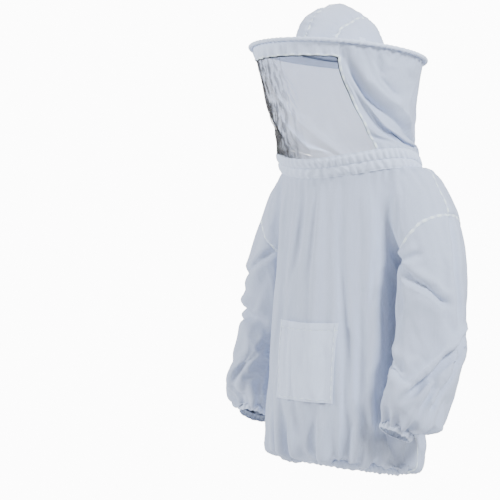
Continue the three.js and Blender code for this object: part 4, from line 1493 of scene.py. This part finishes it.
class SMOCK_OT_pocket(bpy.types.Operator):
    """Lays the patch pocket on the draped front"""

    bl_idname = "smock.pocket"
    bl_label = "Pocket"

    def execute(self, context):
        sizes = settings()[0]
        front = bpy.data.objects["front_panel_cloth"]
        graph = context.evaluated_depsgraph_get()
        tree = BVHTree.FromObject(front, graph)

        def skin(x, z):
            total, hits, nearest = 0.0, 0, 1.0
            for dx, dz in ((0, 0), (0.006, 0), (-0.006, 0), (0, 0.006), (0, -0.006)):
                hit = tree.ray_cast(Vector((x + dx, -0.4, z + dz)), Vector((0, 1, 0)))
                if hit[0]:
                    total, hits = total + hit[0].y, hits + 1
                    nearest = min(nearest, hit[0].y)
            return total / max(1, hits), nearest

        low = POCKET_LOW + POCKET_SHIFT + POCKET_TRIM
        high = Vector((POCKET_HIGH.x, 0, POCKET_TOP)) + POCKET_SHIFT
        width, height = high.x - low.x, high.z - low.z
        hem = 0.016

        def place(u, v):
            edge = min(min(u, 1 - u) * width, v * height)
            x = lerp(low.x, high.x, u) + 0.0012 * wavy(v * 6, u, 0, 91)
            z = lerp(low.z, high.z, v) + 0.0010 * wavy(u * 6, v, 0, 92) - 0.003 * math.sin(PI * u) * v
            puff = 0.006 * math.sin(PI * u) * ease(0.3, 1.0, v)
            wrinkle = 0.0026 * wavy(u * 5 + v, v * 4, 0, 93) * ease(0, 0.02, edge)
            fold = 0.19 - 0.03 * v
            wrinkle += 0.0045 * bump(u, fold + 0.07, 0.04) - 0.0050 * bump(u, fold - 0.03, 0.05)
            pucker = 0.0007 * math.sin((u + v) * 120) * bump(edge, 0.0, 0.008)
            seam = -0.0008 * bump(edge, 0.0065, 0.0014) - 0.0008 * bump((1 - v) * height, hem, 0.0016)
            raised = 0.0004 if (1 - v) * height < hem else 0.0
            out = 0.0016 + puff + wrinkle * 0.8 + pucker + seam + raised
            mean, nearest = skin(x, z)
            return Vector((x, min(mean - out, nearest - POCKET_CLEARANCE), z))

        whole = shaped(84, 88, place, (width, height))
        faced(whole, lambda p: Vector((p.x, p.y + 1, p.z)))
        form = new_object("pocket_form", whole)

        top_line, pieces = height - hem, []
        for name, node, upper in (("pocket_cloth", "pocket", False), ("pocket_hem_cloth", "pocket_hem", True)):
            bm = bmesh.new()
            bm.from_mesh(form.data)
            layer = bm.loops.layers.uv.verify()
            wrong = [f for f in bm.faces
                     if (sum(loop[layer].uv.y for loop in f.loops) / len(f.loops) > top_line) != upper]
            bmesh.ops.delete(bm, geom=wrong, context="FACES")
            piece = thicken(new_object(name, bm, finish("pocket_polycotton")), 0.0012 if upper else sizes.cloth, 1)
            pieces.append(settle(piece, "pocket_cloth", "smock", (node,)))

        def outline(path):
            return [(place(u, v) + Vector((0, -0.0002, 0)), Vector((0, -1, 0))) for u, v in path]

        count = 60
        inset = 0.006
        a, b = inset / width, inset / height
        foot = [(lerp(a, 1 - a, i / count), b) for i in range(count + 1)]
        down = [(a, lerp(1, b, i / count)) for i in range(count)]
        up = [(1 - a, lerp(b, 1, i / count)) for i in range(1, count + 1)]
        hem_line = [(lerp(0, 1, i / count), 1 - hem / height) for i in range(count + 1)]
        strips = [band(outline(path), False, 0.0011, 0.0006, 0) for path in (down + foot + up, hem_line)]
        pieces.append(stitched("pocket_stitching", strips, "pocket_cloth"))
        remove(form)
        declare(*pieces)
        return {"FINISHED"}


# ---- The stage


class SMOCK_OT_stage(bpy.types.Operator):
    """Sets the floor, the studio lights and the camera"""

    bl_idname = "smock.stage"
    bl_label = "Stage"

    def execute(self, context):
        scene = context.scene
        bm = bmesh.new()
        bmesh.ops.create_circle(bm, cap_ends=True, segments=96, radius=3.0)
        bmesh.ops.translate(bm, verts=bm.verts, vec=(0, 0, CAD_BOX[0][2] - 0.78))
        new_object("floor", bm, finish("studio_floor"))

        world = bpy.data.worlds.new("studio")
        world.use_nodes = True
        tree = world.node_tree
        backdrop, output = tree.nodes["Background"], tree.nodes["World Output"]
        ambient = tree.nodes.new("ShaderNodeBackground")
        ambient.inputs["Color"].default_value = (1.0, 0.97, 0.94, 1)
        ambient.inputs["Strength"].default_value = 0.50
        backdrop.inputs["Color"].default_value = (1, 1, 1, 1)
        backdrop.inputs["Strength"].default_value = 12.0
        path, mix = tree.nodes.new("ShaderNodeLightPath"), tree.nodes.new("ShaderNodeMixShader")
        tree.links.new(path.outputs["Is Camera Ray"], mix.inputs[0])
        tree.links.new(ambient.outputs[0], mix.inputs[1])
        tree.links.new(backdrop.outputs[0], mix.inputs[2])
        tree.links.new(mix.outputs[0], output.inputs["Surface"])
        scene.world = world

        azimuth = math.radians(43.5)
        toward = Vector((math.sin(azimuth), -math.cos(azimuth), 0))
        right = Vector((math.cos(azimuth), math.sin(azimuth), 0))
        middle = Vector((0, 0, (CAD_BOX[0][2] + CAD_BOX[1][2]) / 2))

        def light(name, position, size, energy, colour=(1, 1, 1)):
            data = bpy.data.lights.new(name, "AREA")
            data.shape = "SQUARE"
            data.size, data.energy, data.color = size, energy, colour
            lamp = bpy.data.objects.new(name, data)
            lamp.location = middle + position
            lamp.rotation_euler = (-position).to_track_quat("-Z", "Y").to_euler()
            scene.collection.objects.link(lamp)

        up = Vector((0, 0, 1))
        light("key", toward * 1.9 + right * 1.7 + up * 1.7, 0.7, 155, (0.86, 0.92, 1.0))
        light("side", toward * 0.5 - right * 2.7 + up * 0.9, 0.9, 95, (0.88, 0.93, 1.0))
        light("top", up * 2.4 - toward * 0.6, 1.6, 30)

        data = bpy.data.cameras.new("camera")
        data.lens, data.sensor_width = 128, 36
        camera = bpy.data.objects.new("camera", data)
        camera.location = middle + toward * 4.0 + up * 0.12
        aim = middle - right * 0.218 - up * 0.025
        camera.rotation_euler = (aim - camera.location).to_track_quat("-Z", "Y").to_euler()
        scene.collection.objects.link(camera)
        scene.camera = camera
        return {"FINISHED"}


class SMOCK_PT_panel(bpy.types.Panel):
    """Lists the smock's sizes and the steps that build it"""

    bl_label = "Beekeeper's Smock"
    bl_idname = "SMOCK_PT_panel"
    bl_space_type = "VIEW_3D"
    bl_region_type = "UI"
    bl_category = "Smock"

    def draw(self, context):
        for group in (context.scene.smock_sizes, context.scene.smock_folds, context.scene.smock_colours):
            box = self.layout.box()
            for name in group.bl_rna.properties.keys():
                if name not in ("rna_type", "name"):
                    box.prop(group, name)
        for step in STEPS:
            self.layout.operator(step.bl_idname)


STEPS = (SMOCK_OT_body, SMOCK_OT_pocket, SMOCK_OT_collar, SMOCK_OT_hems, SMOCK_OT_veil, SMOCK_OT_hat, SMOCK_OT_stage)
CLASSES = (SmockSizes, SmockFolds, SmockColours, *STEPS, SMOCK_PT_panel)


def register():
    for kind in CLASSES:
        bpy.utils.register_class(kind)
    bpy.types.Scene.smock_sizes = bpy.props.PointerProperty(type=SmockSizes)
    bpy.types.Scene.smock_folds = bpy.props.PointerProperty(type=SmockFolds)
    bpy.types.Scene.smock_colours = bpy.props.PointerProperty(type=SmockColours)


def unregister():
    for name in ("smock_sizes", "smock_folds", "smock_colours"):
        delattr(bpy.types.Scene, name)
    for kind in reversed(CLASSES):
        bpy.utils.unregister_class(kind)


def main():
    register()
    bpy.ops.smock.body()
    bpy.ops.smock.pocket()
    bpy.ops.smock.collar()
    bpy.ops.smock.hems()
    bpy.ops.smock.veil()
    bpy.ops.smock.hat()
    bpy.ops.smock.stage()


if __name__ == "__main__":
    main()
